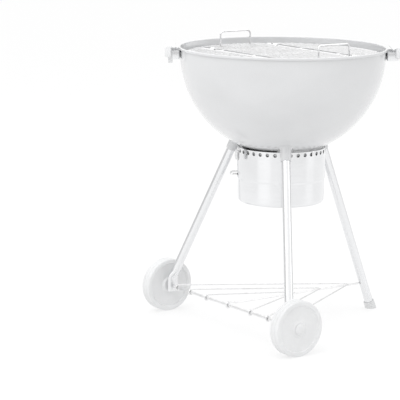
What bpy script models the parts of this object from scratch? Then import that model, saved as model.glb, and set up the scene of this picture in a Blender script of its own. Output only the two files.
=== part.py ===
"""Kettle charcoal grill: enamelled bowl on three tube legs with two wheels, ash bucket and hinged cooking grate.

Units are metres, +Z is up, +X runs along the axle and +Y points towards the plain leg.
"""
import math

import bmesh
import bpy
from mathutils import Matrix, Vector

# Overall sizes
BOWL_R = 0.286
BOWL_WALL = 0.0015
RIM_Z = 0.790
RIM_STRAIGHT = 0.014
RIM_OUT = 0.0048
RIM_BEAD = 0.007
WHEEL_R = 0.0762
WHEEL_W = 0.034
WHEEL_X = 0.3095
AXLE_R = 0.0048
AXLE_Y = -0.176
FOOT_Y = 0.3412

# Clearances
GAP = 0.0003
FACET_SHARE = 0.0063
BLADE_GAP = 0.0018
BUCKET_LEG_GAP = 0.0012

# Legs and their sockets
TUBE_R = 0.0125
TUBE_WALL = 0.0015
WHEEL_LEG_GAP = 0.0015
KINK_Z = 0.104
KINK_FILLET = 0.030
LEG_END_Z = 0.062
FLAT_ALONG = 0.0068
FLAT_ACROSS = 0.0170
FLAT_RISE = 0.024
FLAT_RUN = 0.028
SOCKET_WALL = 0.0025
SOCKET_FLARE = 0.0018
SOCKET_LENGTH = 0.036
SOCKET_FLOOR = 0.0030
CAP_WALL = 0.0033
CAP_HEIGHT = 0.024
CAP_FLOOR = 0.005

# Ash bucket, its ring and clips
BUCKET_R = 0.1236
BUCKET_STEP = 0.0022
BUCKET_WALL = 0.0012
BUCKET_HEIGHT = 0.156
BUCKET_STEP_DROP = 0.090
BUCKET_CORNER = 0.011
BUCKET_UNDER_BOWL = 0.0068
HOLE_R = 0.0052
HOLE_DROP = 0.0088
HOLE_COUNT = 36
RING_SETBACK = 0.0056
RING_WALL = 0.0020
RING_HEIGHT = 0.0160
CLIP_ANGLES = (8.0, 128.0, 248.0)
CLIP_WIDTH = 0.009
CLIP_SHEET = 0.0012
PULL_ANGLE = 233.0
PULL_REACH = 0.0170
PULL_HALF = 0.022
PULL_ROD_R = 0.0026
PULL_DROP = 0.078

# Vent damper
SHAFT_HOLE_R = 0.0060
SHAFT_R = 0.0042
VENT_ANGLE = 30.0
VENT_MID_R = 0.060
VENT_HALF_LONG = 0.026
VENT_HALF_WIDE = 0.014
BLADE_SPAN = 36.0
BLADE_OUT_R = 0.094
BLADE_SHEET = 0.0014
DAMPER_TRAVEL = 50.0
HUB_R = 0.016
LEVER_ANGLE = -98.0
LEVER_SHEET = 0.0020
LEVER_HALF = 0.006
LEVER_UNDER_BOWL = 0.0035
LEVER_DROP = 0.030

# Cooking grate
GRATE_INSET = 0.016
GRATE_DEPTH = 0.015
BAR_R = 0.0023
FRAME_R = 0.0032
BAR_PITCH = 0.0157
CENTRE_BARS = 13
FLAP_BARS = 8
FLAP_SETBACK = 0.0090
CROSS_X = 0.150
EYE_X = 0.180
EYE_HALF = 0.009
FLAP_CROSS_X = 0.085
LIFT_X = 0.226
LIFT_HEIGHT = 0.041
LIFT_ROD_R = 0.0025
SHELF_REACH = 0.020
SHELF_SHEET = 0.0020
SHELF_HALF = 0.011
SHELF_HEIGHT = 0.022

# Charcoal grate
FUEL_R = 0.2135
FUEL_RING_R = 0.0035
FUEL_BAR_R = 0.0030
FUEL_PITCH = 0.0260
FUEL_BARS = 15
FUEL_CROSS = 0.090

# Bowl handles
HANDLE_ANGLES = (55.0, 235.0)
GRIP_REACH = 0.0235
GRIP_DEPTH = 0.0175
GRIP_HALF = 0.060
GRIP_DROP = 0.026
GRIP_RISE = 0.007
ARM_HALF = 0.045
ARM_SHEET = 0.0025
ARM_LOW_DROP = 0.033
ARM_HIGH_DROP = 0.0085
BOLT_DROP = 0.0215
ARM_INTO_GRIP = 0.008
BACK_SHEET = 0.002
BOLT_HALF = 0.024
BOLT_HEAD_R = 0.0048
BOLT_SHANK_R = 0.0026

# Bottom rack
RACK_ROD_R = 0.0022
SPINE_R = 0.0026
RACK_FEET = (0.252, 0.185, 0.105)
RACK_APEX_SHARE = (0.7503, 0.4455, 0.1846)
RACK_OVERLAP = 0.0036

# Derived positions shared by several pieces
BOWL_CZ = RIM_Z - RIM_STRAIGHT
BOWL_IN_R = BOWL_R - BOWL_WALL
AXLE_Z = WHEEL_R
FACET_SLACK = BOWL_R * FACET_SHARE
GRATE_R = BOWL_R - GRATE_INSET
GRIP_IN_R = BOWL_R + GRIP_REACH
GRIP_OUT_R = GRIP_IN_R + GRIP_DEPTH
GRIP_LOW_Z = RIM_Z - GRIP_DROP
GRIP_HIGH_Z = RIM_Z + GRIP_RISE
ARM_LOW_Z = RIM_Z - ARM_LOW_DROP
ARM_HIGH_Z = RIM_Z - ARM_HIGH_DROP
BOLT_Z = RIM_Z - BOLT_DROP
SOCKET_R = TUBE_R + SOCKET_WALL
SOCKET_FLARE_R = SOCKET_R + SOCKET_FLARE
CAP_R = TUBE_R + CAP_WALL
RING_R = BUCKET_R - RING_SETBACK
WHEEL_LEG_X = WHEEL_X - WHEEL_W / 2 - TUBE_R - WHEEL_LEG_GAP


def sphere_z(reach, radius):
    """Height of the bowl-centred sphere of the given radius at a distance from the axis."""
    return BOWL_CZ - math.sqrt(radius * radius - reach * reach)


BUCKET_TOP_Z = sphere_z(BUCKET_R, BOWL_R) - BUCKET_UNDER_BOWL
BUCKET_LOW_Z = BUCKET_TOP_Z - BUCKET_HEIGHT
LEG_PASS_R = BUCKET_R + BUCKET_LEG_GAP + SOCKET_FLARE_R * 1.09
BAR_Z = RIM_Z - GRATE_DEPTH - BAR_R
FRAME_Z = BAR_Z - BAR_R - 0.0004
HINGE_Y = BAR_PITCH * (CENTRE_BARS + 1) / 2

PARTS = None
CUTTERS = None
SLOTS = {}


def new_collection(name):
    collection = bpy.data.collections.new(name)
    bpy.context.scene.collection.children.link(collection)
    return collection


def make_slot(name, colour, roughness, metallic):
    material = bpy.data.materials.new(name)
    material.use_nodes = True
    shader = material.node_tree.nodes["Principled BSDF"]
    shader.inputs["Base Color"].default_value = (*colour, 1.0)
    shader.inputs["Roughness"].default_value = roughness
    shader.inputs["Metallic"].default_value = metallic
    material.diffuse_color = (*colour, 1.0)
    SLOTS[name] = material


def add_part(name, mesh, slot, pivot=(0.0, 0.0, 0.0), turn=None):
    """Link a mesh drawn about its pivot as one named piece."""
    obj = bpy.data.objects.new(name, mesh)
    obj.matrix_world = Matrix.Translation(pivot) @ (turn or Matrix.Identity(4))
    obj.data.materials.clear()
    obj.data.materials.append(SLOTS[slot])
    PARTS.objects.link(obj)
    return obj


def add_cutter(name, mesh, place=None):
    obj = bpy.data.objects.new(name, mesh)
    obj.matrix_world = place or Matrix.Identity(4)
    obj.display_type = "WIRE"
    obj.hide_render = True
    CUTTERS.objects.link(obj)
    return obj


def join_boolean(target, tool, operation):
    modifier = target.modifiers.new(tool.name, "BOOLEAN")
    modifier.operation = operation
    modifier.object = tool
    modifier.solver = "EXACT"


def smooth_shade(obj, angle=35.0):
    mesh = obj.data
    mesh.shade_smooth()
    mesh.set_sharp_from_angle(angle=math.radians(angle))


def mesh_from_bmesh(name, bm):
    bmesh.ops.recalc_face_normals(bm, faces=bm.faces)
    mesh = bpy.data.meshes.new(name)
    bm.to_mesh(mesh)
    bm.free()
    return mesh


def profile_mesh(name, points):
    """Closed loop of edges in the XZ plane, for a Screw modifier."""
    bm = bmesh.new()
    verts = [bm.verts.new((reach, 0.0, height)) for reach, height in points]
    for first, second in zip(verts, verts[1:] + verts[:1]):
        bm.edges.new((first, second))
    mesh = bpy.data.meshes.new(name)
    bm.to_mesh(mesh)
    bm.free()
    return mesh


def lathe(obj, steps):
    screw = obj.modifiers.new("lathe", "SCREW")
    screw.axis = "Z"
    screw.angle = math.tau
    screw.steps = steps
    screw.render_steps = steps
    screw.use_merge_vertices = True
    screw.merge_threshold = 0.00001
    screw.use_smooth_shade = True


def arc_pairs(centre, radius, start, end, count):
    """Points of an arc as pairs, angles in degrees."""
    pairs = []
    for step in range(count + 1):
        angle = math.radians(start + (end - start) * step / count)
        pairs.append((centre[0] + radius * math.cos(angle), centre[1] + radius * math.sin(angle)))
    return pairs


def filleted(points, radius, count=4):
    """Round every inner corner of an open path."""
    result = [Vector(points[0])]
    for before, corner, after in zip(points, points[1:], points[2:]):
        corner = Vector(corner)
        back = (Vector(before) - corner).normalized()
        ahead = (Vector(after) - corner).normalized()
        half = back.angle(ahead) / 2
        reach = radius / math.tan(half)
        start = corner + back * reach
        end = corner + ahead * reach
        centre = corner + (back + ahead).normalized() * (radius / math.sin(half))
        for step in range(count + 1):
            spoke = (start - centre).slerp(end - centre, step / count)
            result.append(centre + spoke.normalized() * radius)
    result.append(Vector(points[-1]))
    return result


def wire_mesh(name, path, radius, sides=6, cyclic=False, capped=True):
    """Round wire along a path, as a welded mesh."""
    curve = bpy.data.curves.new(name, "CURVE")
    curve.dimensions = "3D"
    curve.bevel_depth = radius
    curve.bevel_resolution = (sides - 4) // 2
    curve.use_fill_caps = capped
    spline = curve.splines.new("POLY")
    spline.points.add(len(path) - 1)
    for spot, point in zip(spline.points, path):
        spot.co = (point[0], point[1], point[2], 1.0)
    spline.use_cyclic_u = cyclic
    carrier = bpy.data.objects.new(name, curve)
    bpy.context.scene.collection.objects.link(carrier)
    bpy.context.view_layer.update()
    depsgraph = bpy.context.evaluated_depsgraph_get()
    mesh = bpy.data.meshes.new_from_object(carrier.evaluated_get(depsgraph))
    bpy.data.objects.remove(carrier)
    bpy.data.curves.remove(curve)
    bm = bmesh.new()
    bm.from_mesh(mesh)
    bmesh.ops.remove_doubles(bm, verts=bm.verts, dist=0.00002)
    if capped or cyclic:
        bmesh.ops.recalc_face_normals(bm, faces=bm.faces)
    bm.to_mesh(mesh)
    bm.free()
    return mesh


def merged(name, meshes):
    """Several separate meshes as one mesh."""
    bm = bmesh.new()
    for mesh in meshes:
        bm.from_mesh(mesh)
    result = bpy.data.meshes.new(name)
    bm.to_mesh(result)
    bm.free()
    return result


def straight_rods(name, spans, radius, sides=6, end_radius=None):
    """Straight rods or cones between pairs of points, as one mesh."""
    bm = bmesh.new()
    for start, end in spans:
        start = Vector(start)
        axis = Vector(end) - start
        turn = axis.to_track_quat("Z", "X").to_matrix().to_4x4()
        place = Matrix.Translation(start + axis / 2) @ turn
        bmesh.ops.create_cone(
            bm, cap_ends=True, cap_tris=False, segments=sides, radius1=radius,
            radius2=radius if end_radius is None else end_radius, depth=axis.length, matrix=place)
    return mesh_from_bmesh(name, bm)


def box_mesh(name, low, high):
    bm = bmesh.new()
    low = Vector(low)
    high = Vector(high)
    size = high - low
    place = Matrix.Translation((low + high) / 2) @ Matrix.Diagonal((*size, 1.0))
    bmesh.ops.create_cube(bm, size=1.0, matrix=place)
    return mesh_from_bmesh(name, bm)


def prism_mesh(name, outline, half):
    """Outline of (x, z) pairs pulled along Y to both sides."""
    bm = bmesh.new()
    verts = [bm.verts.new((reach, -half, height)) for reach, height in outline]
    face = bm.faces.new(verts)
    pulled = bmesh.ops.extrude_face_region(bm, geom=[face])
    moved = [item for item in pulled["geom"] if isinstance(item, bmesh.types.BMVert)]
    bmesh.ops.translate(bm, verts=moved, vec=(0.0, 2 * half, 0.0))
    return mesh_from_bmesh(name, bm)


def spun(angle):
    return Matrix.Rotation(math.radians(angle), 4, "Z")


def bevel(obj, width, segments=2, angle=40.0):
    modifier = obj.modifiers.new("edge", "BEVEL")
    modifier.width = width
    modifier.segments = segments
    modifier.limit_method = "ANGLE"
    modifier.angle_limit = math.radians(angle)


def leg_line(foot_reach, foot_z):
    """Straight leg line in its radial plane: reach at a height, and the unit direction downwards."""
    slope = (foot_reach - LEG_PASS_R) / (BUCKET_TOP_Z - foot_z)
    down = Vector((slope, 0.0, -1.0)).normalized()
    return slope, down


def leg_start(slope, down, foot_reach, foot_z):
    """Point where the leg line meets the outside of the bowl."""
    height = BUCKET_TOP_Z
    for _ in range(60):
        reach = foot_reach - slope * (height - foot_z)
        height = sphere_z(reach, BOWL_R)
    return Vector((foot_reach - slope * (height - foot_z), 0.0, height))


def leg_layout():
    """Each leg as its azimuth, foot reach and foot height of the straight part."""
    wheel_reach = math.hypot(WHEEL_LEG_X, AXLE_Y)
    right = math.degrees(math.atan2(AXLE_Y, WHEEL_LEG_X))
    return {
        "right": (right, wheel_reach, KINK_Z),
        "left": (180.0 - right, wheel_reach, KINK_Z),
        "front": (90.0, FOOT_Y, 0.0),
    }


def build_bowl():
    """Spun bowl with rolled rim, three welded leg sockets, three vents and the shaft hole."""
    rim_r = BOWL_R + RIM_OUT
    low_bead = RIM_Z - RIM_BEAD
    first = math.degrees(math.asin(SHAFT_HOLE_R / BOWL_R)) - 90.0
    outer = arc_pairs((0.0, BOWL_CZ), BOWL_R, 0.0, first, 11)
    inner = arc_pairs((0.0, BOWL_CZ), BOWL_IN_R, first, 0.0, 9)
    points = [
        (rim_r - 0.0012, RIM_Z),
        (rim_r, RIM_Z - 0.0016),
        (rim_r, low_bead + 0.0016),
        (rim_r - 0.0014, low_bead),
        (BOWL_R, low_bead - 0.0006),
    ]
    points += outer + inner
    points += [(BOWL_IN_R, RIM_Z - 0.0024), (BOWL_IN_R + 0.0012, RIM_Z)]
    bowl = add_part("bowl", profile_mesh("bowl", points), "enamel")
    lathe(bowl, 48)

    sockets = []
    bores = []
    for azimuth, reach, foot_z in leg_layout().values():
        slope, down = leg_line(reach, foot_z)
        start = leg_start(slope, down, reach, foot_z)
        turn = spun(azimuth)
        inside = turn @ (start - down * (BOWL_WALL * 0.55))
        mouth = turn @ (start + down * SOCKET_LENGTH)
        sockets.append(straight_rods("socket", [(mouth, inside)], SOCKET_R, 16, SOCKET_FLARE_R))
        floor = turn @ (start + down * SOCKET_FLOOR)
        beyond = turn @ (start + down * (SOCKET_LENGTH + 0.004))
        bores.append(straight_rods("bore", [(floor, beyond)], TUBE_R + GAP, 16))
    join_boolean(bowl, add_cutter("sockets", merged("sockets", sockets)), "UNION")
    join_boolean(bowl, add_cutter("socket_bores", merged("socket_bores", bores)), "DIFFERENCE")

    vents = []
    for step in range(3):
        bm = bmesh.new()
        place = spun(VENT_ANGLE + 120.0 * step)
        place = place @ Matrix.Translation((VENT_MID_R, 0.0, BOWL_CZ - BOWL_R + 0.008))
        place = place @ Matrix.Diagonal((VENT_HALF_LONG, VENT_HALF_WIDE, 1.0, 1.0))
        bmesh.ops.create_cone(bm, cap_ends=True, segments=14, radius1=1.0, radius2=1.0, depth=0.05, matrix=place)
        vents.append(mesh_from_bmesh("vent", bm))
    join_boolean(bowl, add_cutter("vents", merged("vents", vents)), "DIFFERENCE")
    smooth_shade(bowl)


def flatten_end(mesh, azimuth, reach, slope):
    """Squeeze the lower end of a wheel leg along the axle, so that it widens across it."""
    for vert in mesh.vertices:
        lift = max(0.0, vert.co.z - KINK_Z)
        centre = spun(azimuth) @ Vector((reach - slope * lift, 0.0, 0.0))
        share = min(1.0, max(0.0, (KINK_Z + FLAT_RISE - vert.co.z) / FLAT_RUN))
        share = share * share * (3.0 - 2.0 * share)
        vert.co.x = centre.x + (vert.co.x - centre.x) * (1.0 + (FLAT_ALONG / TUBE_R - 1.0) * share)
        vert.co.y = centre.y + (vert.co.y - centre.y) * (1.0 + (FLAT_ACROSS / TUBE_R - 1.0) * share)


def spine_layout():
    """Height of the rack's spine and the place where it meets the middle of the plain leg."""
    height = AXLE_Z + AXLE_R + RACK_ROD_R + 0.0004 - RACK_OVERLAP
    slope, _ = leg_line(FOOT_Y, 0.0)
    return height, FOOT_Y - slope * height


def rack_hole():
    """Hole in the plain leg's inner side that takes the end of the rack's spine."""
    height, middle = spine_layout()
    spans = [((0.0, middle - 2 * TUBE_R, height), (0.0, middle, height))]
    return add_cutter("rack_hole", straight_rods("rack_hole", spans, SPINE_R + 2 * GAP, 12))


def build_legs():
    """Three aluminium tubes, drilled for the axle, and the moulded foot of the plain one."""
    layout = leg_layout()
    bore = add_cutter("axle_bore", straight_rods(
        "axle_bore", [((-WHEEL_X, AXLE_Y, AXLE_Z), (WHEEL_X, AXLE_Y, AXLE_Z))], AXLE_R + GAP, 12))
    for side, (azimuth, reach, foot_z) in layout.items():
        slope, down = leg_line(reach, foot_z)
        start = leg_start(slope, down, reach, foot_z)
        top = start + down * (SOCKET_FLOOR + GAP)
        if side == "front":
            end = Vector((FOOT_Y, 0.0, 0.0)) - down * (CAP_FLOOR + GAP + TUBE_R * slope)
            path = [top, end]
        else:
            kink = Vector((reach, 0.0, KINK_Z))
            steps = [kink + Vector((-slope, 0.0, 1.0)) * FLAT_RISE * share for share in (1.0, 0.7, 0.4)]
            bend = filleted([steps[-1], kink, Vector((reach, 0.0, LEG_END_Z))], KINK_FILLET, 4)
            path = [top] + steps + bend[1:]
        turn = spun(azimuth)
        path = [turn @ point for point in path]
        leg = add_part("leg_" + side, wire_mesh("leg_" + side, path, TUBE_R, 14, capped=False), "leg_tube")
        wall = leg.modifiers.new("wall", "SOLIDIFY")
        wall.thickness = TUBE_WALL
        wall.offset = -1.0
        if side == "front":
            join_boolean(leg, rack_hole(), "DIFFERENCE")
        else:
            flatten_end(leg.data, azimuth, reach, slope)
            join_boolean(leg, bore, "DIFFERENCE")
        smooth_shade(leg)

    azimuth, reach, foot_z = layout["front"]
    slope, down = leg_line(reach, foot_z)
    foot = Vector((0.0, FOOT_Y, 0.0))
    lean = spun(azimuth) @ down
    low = foot + lean * 0.02
    high = foot - lean * CAP_HEIGHT
    cap = add_part("foot_cap", straight_rods("foot_cap", [(low, high)], CAP_R, 20), "foot_plastic")
    seat = foot - lean * (CAP_FLOOR + TUBE_R * slope)
    hole = straight_rods("foot_hole", [(seat, high - lean * 0.005)], TUBE_R + GAP, 16)
    join_boolean(cap, add_cutter("foot_hole", hole), "DIFFERENCE")
    ground = box_mesh("ground", (-0.05, FOOT_Y - 0.05, -0.05), (0.05, FOOT_Y + 0.05, 0.0))
    join_boolean(cap, add_cutter("ground", ground), "DIFFERENCE")
    smooth_shade(cap)


def build_axle_and_wheels():
    """Steel rod through both wheel legs, a plain wheel on each end and a push-on hub cap."""
    end = WHEEL_X + WHEEL_W / 2 + 0.003
    rod = straight_rods("axle", [((-end, 0.0, 0.0), (end, 0.0, 0.0))], AXLE_R, 12)
    axle = add_part("axle", rod, "plated_steel", (0.0, AXLE_Y, AXLE_Z))
    smooth_shade(axle)

    half = WHEEL_W / 2
    bore = AXLE_R + GAP
    outline = [
        (WHEEL_R - 0.0050, half),
        (WHEEL_R - 0.0012, half - 0.0030),
        (WHEEL_R, half - 0.0090),
        (WHEEL_R, -half + 0.0090),
        (WHEEL_R - 0.0012, -half + 0.0030),
        (WHEEL_R - 0.0050, -half),
        (WHEEL_R - 0.0120, -half),
        (WHEEL_R - 0.0150, -half + 0.0050),
        (0.0240, -half + 0.0065),
        (0.0190, -half),
        (bore, -half),
        (bore, half),
        (0.0190, half),
        (0.0240, half - 0.0040),
        (WHEEL_R - 0.0150, half - 0.0030),
        (WHEEL_R - 0.0120, half),
    ]
    cap_outline = [
        (0.0150, 0.0012),
        (0.0150, 0.0),
        (bore, 0.0),
        (bore, 0.0032),
        (0.0012, 0.0032),
        (0.0012, 0.0052),
        (0.0100, 0.0046),
        (0.0140, 0.0030),
    ]
    for side, sign in (("left", -1.0), ("right", 1.0)):
        centre = (sign * WHEEL_X, AXLE_Y, AXLE_Z)
        turn = Matrix.Rotation(sign * math.pi / 2, 4, "Y")
        wheel = add_part("wheel_" + side, profile_mesh("wheel_" + side, outline), "wheel_plastic", centre, turn)
        lathe(wheel, 30)
        smooth_shade(wheel)
        out = (sign * (WHEEL_X + half + GAP), AXLE_Y, AXLE_Z)
        bm = bmesh.new()
        bm.from_mesh(profile_mesh("hub_cap", cap_outline))
        bmesh.ops.spin(
            bm, geom=bm.verts[:] + bm.edges[:], cent=(0, 0, 0), axis=(0, 0, 1), angle=math.tau, steps=16,
            use_merge=True, use_duplicate=False)
        bmesh.ops.contextual_create(bm, geom=pole_edges(bm, 0.0012, 0.0032))
        bmesh.ops.contextual_create(bm, geom=pole_edges(bm, 0.0012, 0.0052))
        bmesh.ops.delete(bm, geom=pole_wall(bm, 0.0012), context="FACES_ONLY")
        cap = add_part("hub_cap_" + side, mesh_from_bmesh("hub_cap_" + side, bm), "wheel_plastic", out, turn)
        smooth_shade(cap)


def pole_edges(bm, reach, height):
    """Edges of the small ring at a given reach and height."""
    found = []
    for edge in bm.edges:
        close = [abs(math.hypot(v.co.x, v.co.y) - reach) < 0.0001 and abs(v.co.z - height) < 0.0001
                 for v in edge.verts]
        if all(close):
            found.append(edge)
    return found


def pole_wall(bm, reach):
    """Side faces of the small core that links both poles."""
    return [face for face in bm.faces
            if len(face.verts) == 4 and all(abs(math.hypot(v.co.x, v.co.y) - reach) < 0.0001 for v in face.verts)]


def build_bucket():
    """Spun aluminium ash bucket with a row of air holes, its pull, ring and clips."""
    inner_step = BUCKET_WALL
    low_r = BUCKET_R - BUCKET_STEP
    step_z = BUCKET_TOP_Z - BUCKET_STEP_DROP
    corner = (low_r - BUCKET_CORNER, BUCKET_LOW_Z + BUCKET_CORNER)
    outer = [(BUCKET_R, BUCKET_TOP_Z), (BUCKET_R, step_z + 0.003), (low_r, step_z)]
    outer += arc_pairs(corner, BUCKET_CORNER, 0.0, -90.0, 3)
    outer += [(0.006, BUCKET_LOW_Z)]
    inner = [(0.006, BUCKET_LOW_Z + inner_step)]
    inner += arc_pairs(corner, BUCKET_CORNER - inner_step, -90.0, 0.0, 2)
    inner += [(low_r - inner_step, step_z), (BUCKET_R - inner_step, step_z + 0.003)]
    inner += [(BUCKET_R - inner_step, BUCKET_TOP_Z)]
    bm = bmesh.new()
    bm.from_mesh(profile_mesh("ash_bucket", outer + inner))
    bmesh.ops.spin(
        bm, geom=bm.verts[:] + bm.edges[:], cent=(0, 0, 0), axis=(0, 0, 1), angle=math.tau, steps=HOLE_COUNT,
        use_merge=True, use_duplicate=False)
    bmesh.ops.contextual_create(bm, geom=pole_edges(bm, 0.006, BUCKET_LOW_Z))
    bmesh.ops.contextual_create(bm, geom=pole_edges(bm, 0.006, BUCKET_LOW_Z + inner_step))
    bmesh.ops.delete(bm, geom=pole_wall(bm, 0.006), context="FACES_ONLY")
    bucket = add_part("ash_bucket", mesh_from_bmesh("ash_bucket", bm), "bucket_aluminium")
    holes = []
    for step in range(HOLE_COUNT):
        turn = spun((step + 0.5) * 360.0 / HOLE_COUNT)
        height = BUCKET_TOP_Z - HOLE_DROP
        start = turn @ Vector((BUCKET_R - 0.006, 0.0, height))
        end = turn @ Vector((BUCKET_R + 0.006, 0.0, height))
        holes.append((start, end))
    join_boolean(bucket, add_cutter("air_holes", straight_rods("air_holes", holes, HOLE_R, 8)), "DIFFERENCE")
    smooth_shade(bucket)

    wall = BUCKET_R + GAP
    low = Vector((wall, -PULL_HALF, 0.0))
    far = Vector((wall + PULL_REACH, 0.0, 0.0))
    path = filleted([low, (far.x, -PULL_HALF, 0.0), (far.x, PULL_HALF, 0.0), (wall, PULL_HALF, 0.0)], 0.006, 3)
    chord = wall - math.sqrt(wall * wall - PULL_HALF * PULL_HALF)
    path[0].x = path[0].x - chord
    path[-1].x = path[-1].x - chord
    turn = Matrix.Translation((0.0, 0.0, BUCKET_TOP_Z - PULL_DROP)) @ spun(PULL_ANGLE)
    path = [turn @ point for point in path]
    pull = add_part("bucket_pull", wire_mesh("bucket_pull", path, PULL_ROD_R, 8), "plated_steel")
    smooth_shade(pull)

    ring_top = sphere_z(RING_R, BOWL_R) - GAP
    ring_low = ring_top - RING_HEIGHT
    inner_r = RING_R - RING_WALL
    ring_points = [(RING_R, ring_top), (RING_R, ring_low), (inner_r, ring_low),
                   (inner_r, sphere_z(inner_r, BOWL_R) - GAP)]
    ring = add_part("ash_ring", profile_mesh("ash_ring", ring_points), "enamel")
    lathe(ring, 60)
    notch_floor = sphere_z(RING_R, BOWL_R + LEVER_UNDER_BOWL) - LEVER_SHEET / 2 - 0.0014
    bm = bmesh.new()
    spread = math.degrees(LEVER_HALF / RING_R) + 3.0
    notch_profile = [(RING_R + 0.004, ring_top + 0.006), (RING_R + 0.004, notch_floor),
                     (inner_r - 0.004, notch_floor), (inner_r - 0.004, ring_top + 0.006)]
    first = spun(LEVER_ANGLE - spread)
    verts = [bm.verts.new(first @ Vector((reach, 0.0, height))) for reach, height in notch_profile]
    start_face = bm.faces.new(verts)
    bmesh.ops.spin(
        bm, geom=[start_face], cent=(0, 0, 0), axis=(0, 0, 1),
        angle=math.radians(DAMPER_TRAVEL + 2 * spread), steps=10, use_merge=False, use_duplicate=False)
    join_boolean(ring, add_cutter("lever_notch", mesh_from_bmesh("lever_notch", bm)), "DIFFERENCE")
    smooth_shade(ring)

    ring_face = RING_R + GAP
    lip = BUCKET_R + GAP
    clip_top = BUCKET_TOP_Z + GAP + CLIP_SHEET
    section = [
        (ring_face, BUCKET_TOP_Z - 0.010),
        (ring_face + CLIP_SHEET, BUCKET_TOP_Z - 0.010),
        (ring_face + CLIP_SHEET, BUCKET_TOP_Z + GAP),
        (lip, BUCKET_TOP_Z + GAP),
        (lip, BUCKET_TOP_Z - 0.014),
        (lip + CLIP_SHEET, BUCKET_TOP_Z - 0.015),
        (lip + CLIP_SHEET, clip_top),
        (ring_face, clip_top),
    ]
    for number, angle in enumerate(CLIP_ANGLES, 1):
        name = "ring_clip_%d" % number
        clip = add_part(name, prism_mesh(name, section, CLIP_WIDTH / 2), "plated_steel", turn=spun(angle))
        smooth_shade(clip)


def build_damper():
    """Three sweep blades on a hub inside the bowl, turned by a lever that leaves over the bucket."""
    blade_r = BOWL_IN_R - BLADE_GAP
    hub_low = sphere_z(0.0, blade_r)
    hub_high = hub_low + 0.004
    hub = straight_rods("hub", [((0, 0, hub_low), (0, 0, hub_high))], HUB_R, 24)
    sweep = add_part("damper_sweep", hub, "blade_steel")
    for step in range(3):
        bm = bmesh.new()
        inner_reach = HUB_R * 0.7
        rows = []
        for column in range(7):
            angle = VENT_ANGLE - DAMPER_TRAVEL + 120.0 * step + BLADE_SPAN * (column / 6 - 0.5)
            row = []
            for rank in range(6):
                reach = inner_reach + (BLADE_OUT_R - inner_reach) * rank / 5
                point = spun(angle) @ Vector((reach, 0.0, sphere_z(reach, blade_r)))
                row.append(bm.verts.new(point))
            rows.append(row)
        for left, right in zip(rows, rows[1:]):
            for rank in range(5):
                bm.faces.new((left[rank], right[rank], right[rank + 1], left[rank + 1]))
        blade = add_cutter("blade_%d" % (step + 1), mesh_from_bmesh("blade", bm))
        sheet = blade.modifiers.new("sheet", "SOLIDIFY")
        sheet.thickness = BLADE_SHEET
        sheet.offset = 1.0
        join_boolean(sweep, blade, "UNION")
    bore = straight_rods("sweep_bore", [((0, 0, hub_low - 0.01), (0, 0, hub_high + 0.01))], SHAFT_R + GAP, 12)
    join_boolean(sweep, add_cutter("sweep_bore", bore), "DIFFERENCE")
    smooth_shade(sweep)

    eye_high = sphere_z(0.0, BOWL_R + LEVER_UNDER_BOWL) + LEVER_SHEET / 2
    eye_low = eye_high - LEVER_SHEET
    nut_high = eye_low - GAP
    head_low = hub_high + GAP
    shaft_low = nut_high - 0.008
    shank = straight_rods("damper_shaft", [((0, 0, shaft_low), (0, 0, head_low + 0.001))], SHAFT_R, 12)
    shaft = add_part("damper_shaft", shank, "plated_steel")
    head = straight_rods("shaft_head", [((0, 0, head_low), (0, 0, head_low + 0.004))], 0.0085, 6)
    join_boolean(shaft, add_cutter("shaft_head", head), "UNION")
    nut_body = straight_rods("damper_nut", [((0, 0, nut_high - 0.005), (0, 0, nut_high))], 0.0075, 6)
    nut = add_part("damper_nut", nut_body, "plated_steel")
    nut_bore = straight_rods("nut_bore", [((0, 0, nut_high - 0.01), (0, 0, nut_high + 0.01))], SHAFT_R + GAP, 12)
    join_boolean(nut, add_cutter("nut_bore", nut_bore), "DIFFERENCE")

    lever_r = BOWL_R + LEVER_UNDER_BOWL
    half = LEVER_SHEET / 2
    reach_out = BUCKET_R + 0.0125
    stations = [0.003, 0.030, 0.060, 0.085, 0.105, BUCKET_R]
    middle = [(reach, sphere_z(reach, lever_r)) for reach in stations]
    top_z = middle[-1][1]
    upper = [(reach, height + half) for reach, height in middle]
    upper += [(reach_out - 0.003, top_z + half), (reach_out + half, top_z + half - 0.003)]
    upper += [(reach_out + half, top_z - LEVER_DROP)]
    lower = [(reach_out - half, top_z - LEVER_DROP), (reach_out - half, top_z - half - 0.002)]
    lower += [(reach_out - 0.003, top_z - half)]
    lower += [(reach, height - half) for reach, height in reversed(middle)]
    strip = prism_mesh("damper_lever", upper + lower, LEVER_HALF)
    lever = add_part("damper_lever", strip, "plated_steel", turn=spun(LEVER_ANGLE))
    eye = straight_rods("lever_eye", [((0, 0, eye_low), (0, 0, eye_high))], 0.0120, 20)
    join_boolean(lever, add_cutter("lever_eye", eye), "UNION")
    lever_bore = straight_rods("lever_bore", [((0, 0, eye_low - 0.01), (0, 0, eye_high + 0.01))],
                               SHAFT_R + GAP, 12)
    join_boolean(lever, add_cutter("lever_bore", lever_bore), "DIFFERENCE")

    face = reach_out + half + GAP
    low = (face, -0.0085, top_z - LEVER_DROP - 0.003)
    high = (face + 0.006, 0.0085, top_z - 0.006)
    tab = add_part("lever_grip", box_mesh("lever_grip", low, high), "grip_plastic", turn=spun(LEVER_ANGLE))
    bevel(tab, 0.0016)
    smooth_shade(tab)


def loop_with_arcs(start, end, count, height):
    """Closed path: an arc of the grate circle from start to end degrees, closed by its chord."""
    return [(x, y, height) for x, y in arc_pairs((0.0, 0.0), GRATE_R, start, end, count)]


def bar_spans(levels, height, inset):
    spans = []
    for level in levels:
        reach = math.sqrt(GRATE_R * GRATE_R - level * level) - inset
        spans.append(((-reach, level, height), (reach, level, height)))
    return spans


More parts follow.
